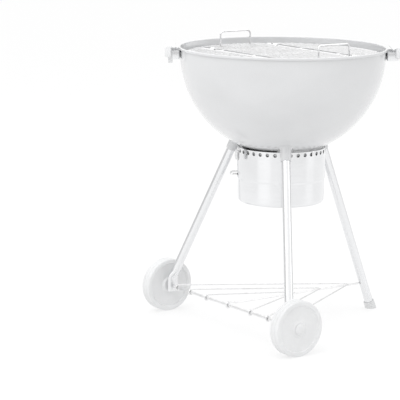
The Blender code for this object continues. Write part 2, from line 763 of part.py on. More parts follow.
def build_cooking_grate():
    """Centre section with two hinged flaps and two upright wire lifting handles."""
    corner = math.degrees(math.asin(HINGE_Y / GRATE_R))
    path = loop_with_arcs(-corner, corner, 7, FRAME_Z) + loop_with_arcs(180.0 - corner, 180.0 + corner, 7, FRAME_Z)
    centre = add_part("grate_centre", wire_mesh("grate_centre", path, FRAME_R, 6, cyclic=True), "plated_steel")
    levels = [BAR_PITCH * (step - (CENTRE_BARS - 1) / 2) for step in range(CENTRE_BARS)]
    bars = straight_rods("centre_bars", bar_spans(levels, BAR_Z, 0.0004), BAR_R, 6)
    cross = [((x, -HINGE_Y, FRAME_Z), (x, HINGE_Y, FRAME_Z)) for x in (-CROSS_X, 0.0, CROSS_X)]
    join_boolean(centre, add_cutter("centre_cross", straight_rods("centre_cross", cross, 0.0029, 6)), "UNION")
    join_boolean(centre, add_cutter("centre_bars", bars), "UNION")
    smooth_shade(centre)

    edge = HINGE_Y + FLAP_SETBACK
    rod_r = FRAME_R - 0.0002
    trim = math.degrees(math.asin(edge / GRATE_R))
    for name, sign in (("flap_front", 1.0), ("flap_rear", -1.0)):
        pivot = (0.0, sign * HINGE_Y, FRAME_Z)
        back = Matrix.Translation(Vector(pivot) * -1.0)
        arc = loop_with_arcs(trim + 1.6, 180.0 - trim - 1.6, 13, FRAME_Z)
        corner_x = GRATE_R * math.cos(math.radians(trim))
        path = [(corner_x - 0.0030, edge, FRAME_Z), (corner_x, edge + 0.0020, FRAME_Z)]
        path += arc
        path += [(-corner_x, edge + 0.0020, FRAME_Z), (-corner_x + 0.0030, edge, FRAME_Z)]
        path = [(x, sign * y, z) for x, y, z in path]
        frame = wire_mesh(name, path, rod_r, 6, cyclic=True)
        frame.transform(back)
        flap = add_part(name, frame, "plated_steel", pivot)
        levels = [sign * (edge + BAR_PITCH * (step + 1)) for step in range(FLAP_BARS)]
        bars = straight_rods(name + "_bars", bar_spans(levels, BAR_Z, 0.0004), BAR_R, 6)
        cross = []
        for x in (-FLAP_CROSS_X, FLAP_CROSS_X):
            far = math.sqrt(GRATE_R * GRATE_R - x * x)
            cross.append(((x, sign * edge, FRAME_Z), (x, sign * far, FRAME_Z)))
        rods = straight_rods(name + "_cross", cross, 0.0027, 6)
        spans = [((x - EYE_HALF, sign * HINGE_Y, FRAME_Z), (x + EYE_HALF, sign * HINGE_Y, FRAME_Z))
                 for x in (-EYE_X, EYE_X)]
        eyes = straight_rods(name + "_eyes", spans, FLAP_SETBACK - rod_r + 0.0012, 10)
        spans = [((x - EYE_HALF - 0.004, sign * HINGE_Y, FRAME_Z), (x + EYE_HALF + 0.004, sign * HINGE_Y, FRAME_Z))
                 for x in (-EYE_X, EYE_X)]
        bores = straight_rods(name + "_bores", spans, FRAME_R + 3 * GAP, 8)
        join_boolean(flap, add_cutter(name + "_eyes", eyes), "UNION")
        join_boolean(flap, add_cutter(name + "_cross", rods), "UNION")
        join_boolean(flap, add_cutter(name + "_bars", bars), "UNION")
        join_boolean(flap, add_cutter(name + "_bores", bores), "DIFFERENCE")
        smooth_shade(flap)

    leg_y = 3 * BAR_PITCH + BAR_R + LIFT_ROD_R + GAP
    top = BAR_Z + BAR_R + LIFT_HEIGHT
    for number, sign in ((1, -1.0), (2, 1.0)):
        x = sign * LIFT_X
        corners = [(x, -leg_y, BAR_Z - 0.001), (x, -leg_y, top), (x, leg_y, top), (x, leg_y, BAR_Z - 0.001)]
        name = "grate_handle_%d" % number
        lift = add_part(name, wire_mesh(name, filleted(corners, 0.010, 3), LIFT_ROD_R, 6), "plated_steel")
        smooth_shade(lift)


def build_bowl_fittings():
    """Grate shelves inside the bowl and the charcoal grate that rests low on the wall."""
    wall = BOWL_IN_R - FACET_SLACK
    shelf_top = FRAME_Z - FRAME_R - GAP
    drop_r = math.sqrt((BOWL_IN_R - FACET_SLACK) ** 2 - (BOWL_CZ - (shelf_top - SHELF_HEIGHT)) ** 2)
    section = [
        (wall - SHELF_REACH, shelf_top),
        (wall - SHELF_REACH, shelf_top - SHELF_SHEET),
        (wall - SHELF_SHEET - 0.001, shelf_top - SHELF_SHEET),
        (drop_r - SHELF_SHEET, shelf_top - SHELF_HEIGHT),
        (drop_r, shelf_top - SHELF_HEIGHT),
        (wall - 0.0004, shelf_top - 0.004),
        (wall - 0.0004, shelf_top),
    ]
    for number in range(4):
        name = "grate_shelf_%d" % (number + 1)
        shelf = add_part(name, prism_mesh(name, section, SHELF_HALF), "plated_steel", turn=spun(90.0 * number))
        smooth_shade(shelf)

    seat = BOWL_IN_R - FACET_SLACK - FUEL_RING_R - GAP
    height = sphere_z(FUEL_R, seat)
    ring = [(x, y, height) for x, y in arc_pairs((0.0, 0.0), FUEL_R, 0.0, 360.0, 32)][:-1]
    fuel = add_part("charcoal_grate", wire_mesh("charcoal_grate", ring, FUEL_RING_R, 6, cyclic=True), "fuel_steel")
    spans = []
    for step in range(FUEL_BARS):
        level = FUEL_PITCH * (step - (FUEL_BARS - 1) / 2)
        reach = math.sqrt(FUEL_R * FUEL_R - level * level)
        spans.append(((level, -reach, height + 0.0045), (level, reach, height + 0.0045)))
    cross = []
    for level in (-FUEL_CROSS, FUEL_CROSS):
        reach = math.sqrt(FUEL_R * FUEL_R - level * level)
        cross.append(((-reach, level, height), (reach, level, height)))
    join_boolean(fuel, add_cutter("fuel_cross", straight_rods("fuel_cross", cross, 0.0032, 6)), "UNION")
    join_boolean(fuel, add_cutter("fuel_bars", straight_rods("fuel_bars", spans, FUEL_BAR_R, 6)), "UNION")
    smooth_shade(fuel)


def build_bowl_handles():
    """Two opposite handles: a folded bracket bolted to the bowl and a moulded grip on its arms."""
    back_in = BOWL_R + GAP
    grip_section = [
        (GRIP_IN_R, GRIP_LOW_Z + 0.002),
        (GRIP_IN_R + 0.003, GRIP_LOW_Z),
        (GRIP_OUT_R - 0.004, GRIP_LOW_Z),
        (GRIP_OUT_R, GRIP_LOW_Z + 0.006),
        (GRIP_OUT_R, GRIP_HIGH_Z - 0.010),
        (GRIP_OUT_R - 0.004, GRIP_HIGH_Z - 0.003),
        (GRIP_OUT_R - 0.010, GRIP_HIGH_Z),
        (GRIP_IN_R - 0.002, GRIP_HIGH_Z - 0.001),
        (GRIP_IN_R - 0.010, GRIP_HIGH_Z - 0.006),
        (GRIP_IN_R - 0.009, GRIP_HIGH_Z - 0.009),
        (GRIP_IN_R, GRIP_HIGH_Z - 0.006),
    ]
    for number, angle in enumerate(HANDLE_ANGLES, 1):
        turn = spun(angle)
        name = "handle_bracket_%d" % number
        low = (back_in, -ARM_HALF, ARM_LOW_Z)
        high = (back_in + BACK_SHEET, ARM_HALF, ARM_HIGH_Z)
        bracket = add_part(name, box_mesh(name, low, high), "leg_tube", turn=turn)
        arms = []
        for side in (-1.0, 1.0):
            near = min(side * ARM_HALF, side * (ARM_HALF - ARM_SHEET))
            arms.append(box_mesh("arm", (back_in + 0.0006, near, ARM_LOW_Z + 0.0008),
                                 (GRIP_IN_R + ARM_INTO_GRIP, near + ARM_SHEET, ARM_HIGH_Z - 0.0008)))
        join_boolean(bracket, add_cutter(name + "_arms", merged("arms", arms), turn), "UNION")
        spans = [((back_in - 0.01, y, BOLT_Z), (back_in + 0.01, y, BOLT_Z)) for y in (-BOLT_HALF, BOLT_HALF)]
        drill = add_cutter(name + "_holes", straight_rods("drill", spans, BOLT_SHANK_R + GAP, 10), turn)
        join_boolean(bracket, drill, "DIFFERENCE")

        name = "handle_grip_%d" % number
        grip = add_part(name, prism_mesh(name, grip_section, GRIP_HALF), "grip_plastic", turn=turn)
        bevel(grip, 0.0012, 1, 50.0)
        slots = []
        for side in (-1.0, 1.0):
            near = min(side * ARM_HALF, side * (ARM_HALF - ARM_SHEET))
            slots.append(box_mesh("slot", (GRIP_IN_R - 0.004, near - GAP, GRIP_LOW_Z - 0.02),
                                  (GRIP_IN_R + ARM_INTO_GRIP + GAP, near + ARM_SHEET + GAP, ARM_HIGH_Z + GAP)))
        join_boolean(grip, add_cutter(name + "_slots", merged("slots", slots), turn), "DIFFERENCE")
        smooth_shade(grip)

        for mark, y in (("a", -BOLT_HALF), ("b", BOLT_HALF)):
            name = "handle_bolt_%d%s" % (number, mark)
            face = back_in + BACK_SHEET + GAP
            shank = straight_rods(name, [((back_in + 0.0004, y, BOLT_Z), (face + 0.001, y, BOLT_Z))],
                                  BOLT_SHANK_R, 10)
            bolt = add_part(name, shank, "plated_steel", turn=turn)
            head = straight_rods("head", [((face, y, BOLT_Z), (face + 0.0032, y, BOLT_Z))],
                                 BOLT_HEAD_R, 12, BOLT_HEAD_R * 0.7)
            join_boolean(bolt, add_cutter(name + "_head", head, turn), "UNION")


def hook_points(x, height, radius):
    """Path over the axle and round behind it, starting underneath."""
    reach = AXLE_R + radius + 0.0004
    points = []
    for y, z in arc_pairs((AXLE_Y, AXLE_Z), reach, 300.0, 90.0, 6):
        points.append(Vector((x, y, z)))
    points.append(Vector((x, AXLE_Y + 0.006, height)))
    return points


def build_rack():
    """Wire rack: a spine from the axle to the plain leg and three nested V wires hooked on the axle."""
    wire_z = AXLE_Z + AXLE_R + RACK_ROD_R + 0.0004
    spine_top = AXLE_Z + AXLE_R + SPINE_R + 0.0004
    spine_z, spine_end = spine_layout()
    path = hook_points(0.0, spine_top, SPINE_R)
    path += [Vector((0.0, AXLE_Y + 0.024, spine_z)), Vector((0.0, spine_end - TUBE_WALL, spine_z))]
    rack = add_part("bottom_rack", wire_mesh("bottom_rack", path, SPINE_R, 6), "plated_steel")
    wires = []
    for foot, share in zip(RACK_FEET, RACK_APEX_SHARE):
        apex = FOOT_Y * share
        left = hook_points(-foot, wire_z, RACK_ROD_R)
        right = hook_points(foot, wire_z, RACK_ROD_R)
        tip = [Vector((-0.008, apex - 0.005, wire_z)), Vector((0.0, apex, wire_z)),
               Vector((0.008, apex - 0.005, wire_z))]
        wires.append(wire_mesh("rack_wire", left + tip + right[::-1], RACK_ROD_R, 6))
    join_boolean(rack, add_cutter("rack_wires", merged("rack_wires", wires)), "UNION")
    smooth_shade(rack)


def centre_on_base():
    """Move everything so the middle of the base of the bounding box is the origin."""
    bpy.context.view_layer.update()
    depsgraph = bpy.context.evaluated_depsgraph_get()
    low = Vector((1e9, 1e9, 1e9))
    high = Vector((-1e9, -1e9, -1e9))
    for obj in PARTS.objects:
        shown = obj.evaluated_get(depsgraph)
        mesh = shown.to_mesh()
        for vert in mesh.vertices:
            spot = obj.matrix_world @ vert.co
            low = Vector(map(min, low, spot))
            high = Vector(map(max, high, spot))
        shown.to_mesh_clear()
    shift = Vector(((low.x + high.x) / -2, (low.y + high.y) / -2, -low.z))
    for obj in list(PARTS.objects) + list(CUTTERS.objects):
        obj.matrix_world = Matrix.Translation(shift) @ obj.matrix_world
    print("shift", tuple(round(value, 6) for value in shift))


for leftover in list(bpy.data.objects):
    bpy.data.objects.remove(leftover, do_unlink=True)
PARTS = new_collection("kettle_grill")
CUTTERS = new_collection("cutters")
CUTTERS.hide_render = True
make_slot("enamel", (0.74, 0.745, 0.75), 0.25, 0.0)
make_slot("leg_tube", (0.84, 0.845, 0.855), 0.35, 1.0)
make_slot("bucket_aluminium", (0.84, 0.845, 0.855), 0.30, 1.0)
make_slot("plated_steel", (0.82, 0.82, 0.825), 0.25, 1.0)
make_slot("fuel_steel", (0.66, 0.66, 0.665), 0.45, 1.0)
make_slot("blade_steel", (0.72, 0.72, 0.725), 0.40, 1.0)
make_slot("grip_plastic", (0.7, 0.705, 0.71), 0.50, 0.0)
make_slot("wheel_plastic", (0.71, 0.715, 0.72), 0.55, 0.0)
make_slot("foot_plastic", (0.69, 0.695, 0.7), 0.55, 0.0)
build_bowl()
build_legs()
build_axle_and_wheels()
build_bucket()
build_damper()
build_cooking_grate()
build_bowl_fittings()
build_bowl_handles()
build_rack()
centre_on_base()
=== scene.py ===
"""Looks of the kettle charcoal grill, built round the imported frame.

Metres, +Z up. Every fine piece stands where its CAD node stands and moves with the same body.
"""
import math

import bmesh
import bpy
from mathutils import Matrix, Vector


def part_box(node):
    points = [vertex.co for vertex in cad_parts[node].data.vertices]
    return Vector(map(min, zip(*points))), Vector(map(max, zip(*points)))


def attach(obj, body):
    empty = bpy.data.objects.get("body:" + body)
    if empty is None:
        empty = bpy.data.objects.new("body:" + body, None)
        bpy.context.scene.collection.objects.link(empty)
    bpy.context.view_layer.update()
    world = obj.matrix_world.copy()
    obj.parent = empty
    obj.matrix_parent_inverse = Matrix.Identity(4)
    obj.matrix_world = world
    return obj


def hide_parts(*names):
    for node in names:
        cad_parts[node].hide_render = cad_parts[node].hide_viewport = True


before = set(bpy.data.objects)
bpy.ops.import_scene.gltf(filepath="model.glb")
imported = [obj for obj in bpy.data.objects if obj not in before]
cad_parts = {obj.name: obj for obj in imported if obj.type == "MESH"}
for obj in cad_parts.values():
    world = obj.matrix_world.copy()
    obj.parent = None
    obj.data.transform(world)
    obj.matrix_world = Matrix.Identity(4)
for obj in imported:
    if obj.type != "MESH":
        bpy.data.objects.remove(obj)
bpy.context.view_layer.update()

# ---------------------------------------------------------------- sizes read from the frame
_, bowl_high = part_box("bowl")
bucket_low, bucket_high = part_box("ash_bucket")
ring_low, ring_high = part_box("ash_ring")
axle_low, axle_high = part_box("axle")
wheel_low, wheel_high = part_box("wheel_right")
fuel_low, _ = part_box("charcoal_grate")
lift_low, lift_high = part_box("grate_handle_2")
pull_low, pull_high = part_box("bucket_pull")

AXIS_Y = (bucket_low.y + bucket_high.y) / 2
RIM_Z = bowl_high.z
RIM_R = bowl_high.x
RIM_OUT = 0.0048
BOWL_R = RIM_R - RIM_OUT
BOWL_WALL = 0.0015
BOWL_IN_R = BOWL_R - BOWL_WALL
BOWL_CZ = RIM_Z - 0.014
GAP = 0.0003
CENTRED = Matrix.Translation((0.0, AXIS_Y, 0.0))
FACE_OUT = Matrix.Rotation(math.pi / 2, 4, "Y")

AXLE_Y = (axle_low.y + axle_high.y) / 2 - AXIS_Y
AXLE_Z = (axle_low.z + axle_high.z) / 2
AXLE_R = 0.0048
WHEEL_R = (wheel_high.z - wheel_low.z) / 2
WHEEL_W = wheel_high.x - wheel_low.x
WHEEL_X = (wheel_low.x + wheel_high.x) / 2

BUCKET_R = bucket_high.x
BUCKET_TOP_Z = bucket_high.z
BUCKET_LOW_Z = bucket_low.z
BUCKET_WALL = 0.0012
RING_R = ring_high.x
FOOT_Y = 0.3412
TUBE_R = 0.0125
TUBE_WALL = 0.0015
SOCKET_R = TUBE_R + 0.0025
SOCKET_FLARE_R = SOCKET_R + 0.0018
SOCKET_LENGTH = 0.036
SOCKET_FLOOR = 0.0030
LEG_PASS_R = BUCKET_R + 0.0012 + SOCKET_FLARE_R * 1.09
WHEEL_LEG_X = WHEEL_X - WHEEL_W / 2 - TUBE_R - 0.0015
KINK_Z = 0.104
FLAT_ALONG = 0.0068
FLAT_ACROSS = 0.0170
FLAT_RISE = 0.024
FLAT_RUN = 0.028
LEG_END_Z = 0.062
GRATE_R = BOWL_R - 0.016
BAR_R = 0.0023
FRAME_R = 0.0032
BAR_PITCH = 0.0157
RACK_ROD_R = 0.0022
SPINE_R = 0.0026
BAR_Z = RIM_Z - 0.015 - BAR_R
FRAME_Z = BAR_Z - BAR_R - 0.0004
HINGE_Y = BAR_PITCH * 7
FLAP_SETBACK = 0.0090
CENTRE_CROSSES = (-0.150, 0.0, 0.150)
FLAP_CROSSES = (-0.085, 0.085)
HINGE_EYES = (-0.180, 0.180)
FUEL_R = 0.2135
LEVER_ANGLE = -98.0
PULL_ANGLE = 233.0
DAMPER_TURN = 50.0
LEVER_UNDER_BOWL = 0.0035
LEVER_SHEET = 0.0020
SHAFT_R = 0.0042
VENT_ANGLE = 30.0
CLIP_ANGLES = (8.0, 128.0, 248.0)
HANDLE_ANGLES = (55.0, 235.0)
GRIP_IN_R = BOWL_R + 0.0235
GRIP_OUT_R = GRIP_IN_R + 0.0175
BOLT_YS = (-0.024, 0.024)


# ---------------------------------------------------------------- mesh helpers
class Shape:
    """Points, faces and texture coordinates of one piece, gathered sheet by sheet.

    Texture coordinates are metres along the surface, so brushing keeps one scale everywhere.
    """

    def __init__(self):
        self.points = []
        self.faces = []
        self.coords = []

    def sheet(self, rows, coords, wrap=False, flip=False):
        """Quads between rows of points; coords gives a corner's texture place from its row and column."""
        first = len(self.points)
        columns = len(rows[0])
        for row in rows:
            self.points.extend(Vector(point) for point in row)
        for i in range(len(rows) - 1):
            for j in range(columns if wrap else columns - 1):
                corners = [(i, j), (i, j + 1), (i + 1, j + 1), (i + 1, j)]
                if flip:
                    corners.reverse()
                self.faces.append([first + a * columns + b % columns for a, b in corners])
                self.coords.append([coords(a, b) for a, b in corners])

    def fan(self, rim, centre, flip=False):
        """Triangles from a closed rim to one centre point."""
        first = len(self.points)
        self.points.extend(Vector(point) for point in rim)
        self.points.append(Vector(centre))
        count = len(rim)
        for j in range(count):
            corners = [first + j, first + (j + 1) % count, first + count]
            if flip:
                corners.reverse()
            self.faces.append(corners)
            self.coords.append([(self.points[c].x, self.points[c].y) for c in corners])

    def mesh(self, name):
        """One welded mesh with its texture places and its faces turned one way."""
        mesh = bpy.data.meshes.new(name)
        mesh.from_pydata(self.points, [], self.faces)
        layer = mesh.uv_layers.new(name="length")
        flat = [value for face in self.coords for corner in face for value in corner]
        layer.data.foreach_set("uv", flat)
        bm = bmesh.new()
        bm.from_mesh(mesh)
        bmesh.ops.remove_doubles(bm, verts=bm.verts, dist=0.000004)
        bmesh.ops.dissolve_degenerate(bm, dist=0.000001, edges=bm.edges)
        bmesh.ops.recalc_face_normals(bm, faces=bm.faces)
        bm.to_mesh(mesh)
        bm.free()
        return mesh


def as_mesh(name, bm):
    """A new mesh from a bmesh, which is freed."""
    mesh = bpy.data.meshes.new(name)
    bm.to_mesh(mesh)
    bm.free()
    return mesh


def block(name, place):
    """Unit cube put in place, for cutting."""
    bm = bmesh.new()
    bmesh.ops.create_cube(bm, size=1.0, matrix=place)
    return as_mesh(name, bm)


def linked(name, data):
    """A new object in the scene."""
    thing = bpy.data.objects.new(name, data)
    bpy.context.scene.collection.objects.link(thing)
    return thing


def soften(mesh, angle=32.0):
    """Smooth shading with sharp edges above an angle."""
    mesh.shade_smooth()
    mesh.set_sharp_from_angle(angle=math.radians(angle))


def spun(angle):
    return Matrix.Rotation(math.radians(angle), 4, "Z")


def around(angle):
    """Turn about the bowl's axis, from a bowl-centred place to the row frame."""
    return CENTRED @ spun(angle)


def sphere_z(reach, radius):
    """Height of the bowl-centred sphere of the given radius at a distance from the axis."""
    return BOWL_CZ - math.sqrt(radius * radius - reach * reach)


def arc(centre, radius, start, end, count):
    points = []
    for step in range(count + 1):
        angle = math.radians(start + (end - start) * step / count)
        points.append((centre[0] + radius * math.cos(angle), centre[1] + radius * math.sin(angle)))
    return points


def rounded(points, radii, count=5, closed=True):
    """Round the corners of a flat outline; radii is one value or one per corner."""
    total = len(points)
    if not hasattr(radii, "__len__"):
        radii = [radii] * total
    result = []
    for index, (point, radius) in enumerate(zip(points, radii)):
        corner = Vector(point)
        ends = index in (0, total - 1) and not closed
        if radius <= 0.0 or ends:
            result.append(tuple(corner))
            continue
        back = Vector(points[index - 1]) - corner
        ahead = Vector(points[(index + 1) % total]) - corner
        half = back.angle(ahead) / 2
        if half > math.radians(87.0):
            result.append(tuple(corner))
            continue
        reach = min(radius / math.tan(half), back.length * 0.46, ahead.length * 0.46)
        start = corner + back.normalized() * reach
        end = corner + ahead.normalized() * reach
        for step in range(count + 1):
            share = step / count
            spot = start * (1 - share) ** 2 + corner * 2 * share * (1 - share) + end * share * share
            result.append(tuple(spot))
    return result


def filleted(points, radius, count=10):
    """Round every inner corner of an open path in space."""
    result = [Vector(points[0])]
    for before, corner, after in zip(points, points[1:], points[2:]):
        corner = Vector(corner)
        back = (Vector(before) - corner).normalized()
        ahead = (Vector(after) - corner).normalized()
        half = back.angle(ahead) / 2
        reach = radius / math.tan(half)
        start = corner + back * reach
        end = corner + ahead * reach
        centre = corner + (back + ahead).normalized() * (radius / math.sin(half))
        for step in range(count + 1):
            spoke = (start - centre).slerp(end - centre, step / count)
            result.append(centre + spoke.normalized() * radius)
    result.append(Vector(points[-1]))
    return result


def lathe(shape, profile, steps, place=None, closed=True, fill=(), start=0.0):
    """Spin a profile of (reach, height) pairs round Z, then put it in place."""
    place = place or Matrix.Identity(4)
    profile = list(profile) + ([profile[0]] if closed else [])
    run = [0.0]
    for a, b in zip(profile, profile[1:]):
        run.append(run[-1] + math.dist(a, b))
    widest = max(reach for reach, _ in profile)
    rows = []
    for reach, height in profile:
        row = []
        for step in range(steps):
            angle = math.tau * step / steps + start
            row.append(place @ Vector((reach * math.cos(angle), reach * math.sin(angle), height)))
        rows.append(row)
    shape.sheet(rows, lambda i, j: (math.tau * widest * j / steps, run[i]), wrap=True)
    for index in fill:
        height = profile[index][1]
        shape.fan(rows[index], place @ Vector((0.0, 0.0, height)))


def frames(path, cyclic):
    """Unit direction and two side vectors at each point of a path, carried along without twist."""
    count = len(path)
    ways = []
    for index in range(count):
        before = path[index - 1] if cyclic or index else path[index]
        after = path[(index + 1) % count] if cyclic or index < count - 1 else path[index]
        ways.append((after - before).normalized())
    side = ways[0].orthogonal().normalized()
    result = []
    last = ways[0]
    for way in ways:
        side = last.rotation_difference(way) @ side
        side = (side - way * side.dot(way)).normalized()
        result.append((way, side, way.cross(side)))
        last = way
    return result


def wire(shape, path, radius, sides=16, cyclic=False, place=None, ends="round"):
    """Round rod along a path; its ends are rounded, flat or left open."""
    path = [Vector(point) for point in path]
    if place:
        path = [place @ point for point in path]
    axes = frames(path, cyclic)
    run = [0.0]
    for a, b in zip(path, path[1:]):
        run.append(run[-1] + (b - a).length)
    stations = [(point, axis, radius, length) for point, axis, length in zip(path, axes, run)]
    if cyclic:
        length = run[-1] + (path[0] - path[-1]).length
        turn = axes[-1][0].rotation_difference(axes[0][0]) @ axes[-1][1]
        side = axes[0][1]
        twist = math.atan2(side.cross(turn).dot(axes[0][0]), side.dot(turn))
        count = len(path)
        stations = []
        for index, (point, (way, side, other), run_at) in enumerate(zip(path, axes, run)):
            back = Matrix.Rotation(-twist * index / count, 3, way)
            stations.append((point, (way, back @ side, back @ other), radius, run_at))
        stations.append((path[0], axes[0], radius, length))
    elif ends == "round":
        first = stations[0]
        final = stations[-1]
        lead = []
        tail = []
        for share in (0.15, 0.5, 0.8, 0.95):
            width = radius * math.sqrt(1 - (1 - share) ** 2)
            lead.append((first[0] + first[1][0] * radius * 0.55 * share, first[1], width, first[3]))
            tail.append((final[0] - final[1][0] * radius * 0.55 * share, final[1], width, final[3]))
        stations = lead + stations[1:-1] + tail[::-1]
    rows = []
    for point, (way, side, other), width, _ in stations:
        row = []
        for step in range(sides):
            angle = math.tau * step / sides
            row.append(point + side * (width * math.cos(angle)) + other * (width * math.sin(angle)))
        rows.append(row)
    lengths = [station[3] for station in stations]
    shape.sheet(rows, lambda i, j: (math.tau * radius * j / sides, lengths[i]), wrap=True)
    if not cyclic and ends != "open":
        shape.fan(rows[0], path[0])
        shape.fan(rows[-1], path[-1])
    return rows


def solid_prism(outline, half, place=None, bevel=0.0, segments=3, name="prism"):
    """Outline of (x, z) pairs pulled along Y to both sides, with its long edges softened."""
    place = place or Matrix.Identity(4)
    bm = bmesh.new()
    verts = [bm.verts.new((reach, -half, height)) for reach, height in outline]
    face = bm.faces.new(verts)
    pulled = bmesh.ops.extrude_face_region(bm, geom=[face])
    moved = [item for item in pulled["geom"] if isinstance(item, bmesh.types.BMVert)]
    bmesh.ops.translate(bm, verts=moved, vec=(0.0, 2 * half, 0.0))
    bmesh.ops.recalc_face_normals(bm, faces=bm.faces)
    if bevel:
        rims = [edge for edge in bm.edges if all(abs(abs(v.co.y) - half) < 1e-7 for v in edge.verts)
                and abs(edge.verts[0].co.y - edge.verts[1].co.y) < 1e-7]
        bmesh.ops.bevel(bm, geom=rims, offset=bevel, segments=segments, profile=0.5, affect="EDGES")
    bmesh.ops.transform(bm, matrix=place, verts=bm.verts)
    return as_mesh(name, bm)


def folded_strip(path, thickness, half, place=None, bevel=0.0002, name="strip"):
    """Folded sheet: a path of (x, z) pairs thickened to both sides and pulled along Y."""
    points = [Vector(point) for point in path]
    upper = []
    lower = []
    for index, point in enumerate(points):
        before = points[max(index - 1, 0)]
        after = points[min(index + 1, len(points) - 1)]
        way = (after - before).normalized()
        side = Vector((-way.y, way.x)) * (thickness / 2)
        upper.append(tuple(point + side))
        lower.append(tuple(point - side))
    return solid_prism(upper + lower[::-1], half, place, bevel, 2, name)


def joined(name, meshes):
    """Several meshes as one."""
    bm = bmesh.new()
    for mesh in meshes:
        bm.from_mesh(mesh)
    return as_mesh(name, bm)


def bore(mesh, tool):
    """Cut one mesh with another and give back the result."""
    pair = [linked(data.name, data) for data in (mesh, tool)]
    cut = pair[0].modifiers.new("cut", "BOOLEAN")
    cut.operation = "DIFFERENCE"
    cut.object = pair[1]
    cut.solver = "EXACT"
    bpy.context.view_layer.update()
    depsgraph = bpy.context.evaluated_depsgraph_get()
    result = bpy.data.meshes.new_from_object(pair[0].evaluated_get(depsgraph))
    result.name = mesh.name
    for carrier in pair:
        bpy.data.objects.remove(carrier)
    return result


def add_piece(name, mesh, body, nodes, slot, angle=32.0):
    """Link a finished mesh as one piece that rides on a body and stands for CAD nodes."""
    soften(mesh, angle)
    piece = linked(name, mesh)
    mesh.materials.clear()
    mesh.materials.append(LOOKS[slot])
    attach(piece, body)
    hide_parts(*nodes)
    return piece


# ---------------------------------------------------------------- materials
class Surface:
    """Node material: one shader, with colour, roughness and bump drawn by procedural textures."""

    def __init__(self, name, colour, roughness, **sockets):
        self.material = bpy.data.materials.new(name)
        self.material.use_nodes = True
        self.tree = self.material.node_tree
        self.shader = self.tree.nodes["Principled BSDF"]
        self.shader.inputs["Base Color"].default_value = (*colour, 1.0)
        self.shader.inputs["Roughness"].default_value = roughness
        for key, value in sockets.items():
            self.shader.inputs[key.replace("_", " ")].default_value = value
        self.material.diffuse_color = (*colour, 1.0)
        self.places = self.add("ShaderNodeTexCoord")
        self.colour = None
        self.base = colour

    def add(self, kind, **inputs):
        node = self.tree.nodes.new(kind)
        for key, value in inputs.items():
            node.inputs[key.replace("_", " ")].default_value = value
        return node

    def link(self, source, target):
        self.tree.links.new(source, target)

    def where(self, space, scale):
        """Texture places, stretched by a scale along each axis."""
        stretch = self.add("ShaderNodeMapping", Scale=scale)
        self.link(self.places.outputs[space], stretch.inputs["Vector"])
        return stretch.outputs["Vector"]

    def noise(self, space, scale, detail=2.0, rough=0.5, distortion=0.0):
        texture = self.add("ShaderNodeTexNoise", Scale=1.0, Detail=detail, Roughness=rough,
                           Distortion=distortion)
        self.link(self.where(space, scale), texture.inputs["Vector"])
        return texture.outputs["Fac"]

    def cells(self, space, scale, feature="F1", output="Color"):
        texture = self.add("ShaderNodeTexVoronoi", Scale=1.0)
        texture.feature = feature
        self.link(self.where(space, scale), texture.inputs["Vector"])
        return texture.outputs[output]

    def spread(self, source, low, high, from_low=0.3, from_high=0.7):
        """A texture value stretched to run from low to high."""
        span = self.add("ShaderNodeMapRange")
        span.inputs["From Min"].default_value = from_low
        span.inputs["From Max"].default_value = from_high
        span.inputs["To Min"].default_value = low
        span.inputs["To Max"].default_value = high
        self.link(source, span.inputs["Value"])
        return span.outputs["Result"]

    def times(self, first, second):
        product = self.add("ShaderNodeMath")
        product.operation = "MULTIPLY"
        self.link(first, product.inputs[0])
        self.link(second, product.inputs[1])
        return product.outputs["Value"]

    def tone(self, shade):
        """Multiply the base colour by a value that varies over the surface."""
        mix = self.add("ShaderNodeVectorMath")
        mix.operation = "SCALE"
        if self.colour:
            self.link(self.colour, mix.inputs[0])
        else:
            mix.inputs[0].default_value = self.base
        self.link(shade, mix.inputs["Scale"])
        self.colour = mix.outputs["Vector"]
        self.link(self.colour, self.shader.inputs["Base Color"])

    def tint(self, share, colour):
        """Blend towards a second colour by a share that varies over the surface."""
        mix = self.add("ShaderNodeMix")
        mix.data_type = "RGBA"
        self.link(share, mix.inputs[0])
        if self.colour:
            self.link(self.colour, mix.inputs[6])
        else:
            mix.inputs[6].default_value = (*self.base, 1.0)
        mix.inputs[7].default_value = (*colour, 1.0)
        self.colour = mix.outputs[2]
        self.link(self.colour, self.shader.inputs["Base Color"])

    def rough(self, value):
        self.link(value, self.shader.inputs["Roughness"])

    def relief(self, layers):
        """Stack bumps; each layer is a height, its strength and its depth in metres."""
        normal = None
        for height, strength, distance in layers:
            bump = self.add("ShaderNodeBump", Strength=strength, Distance=distance)
            self.link(height, bump.inputs["Height"])
            if normal:
                self.link(normal, bump.inputs["Normal"])
            normal = bump.outputs["Normal"]
        self.link(normal, self.shader.inputs["Normal"])


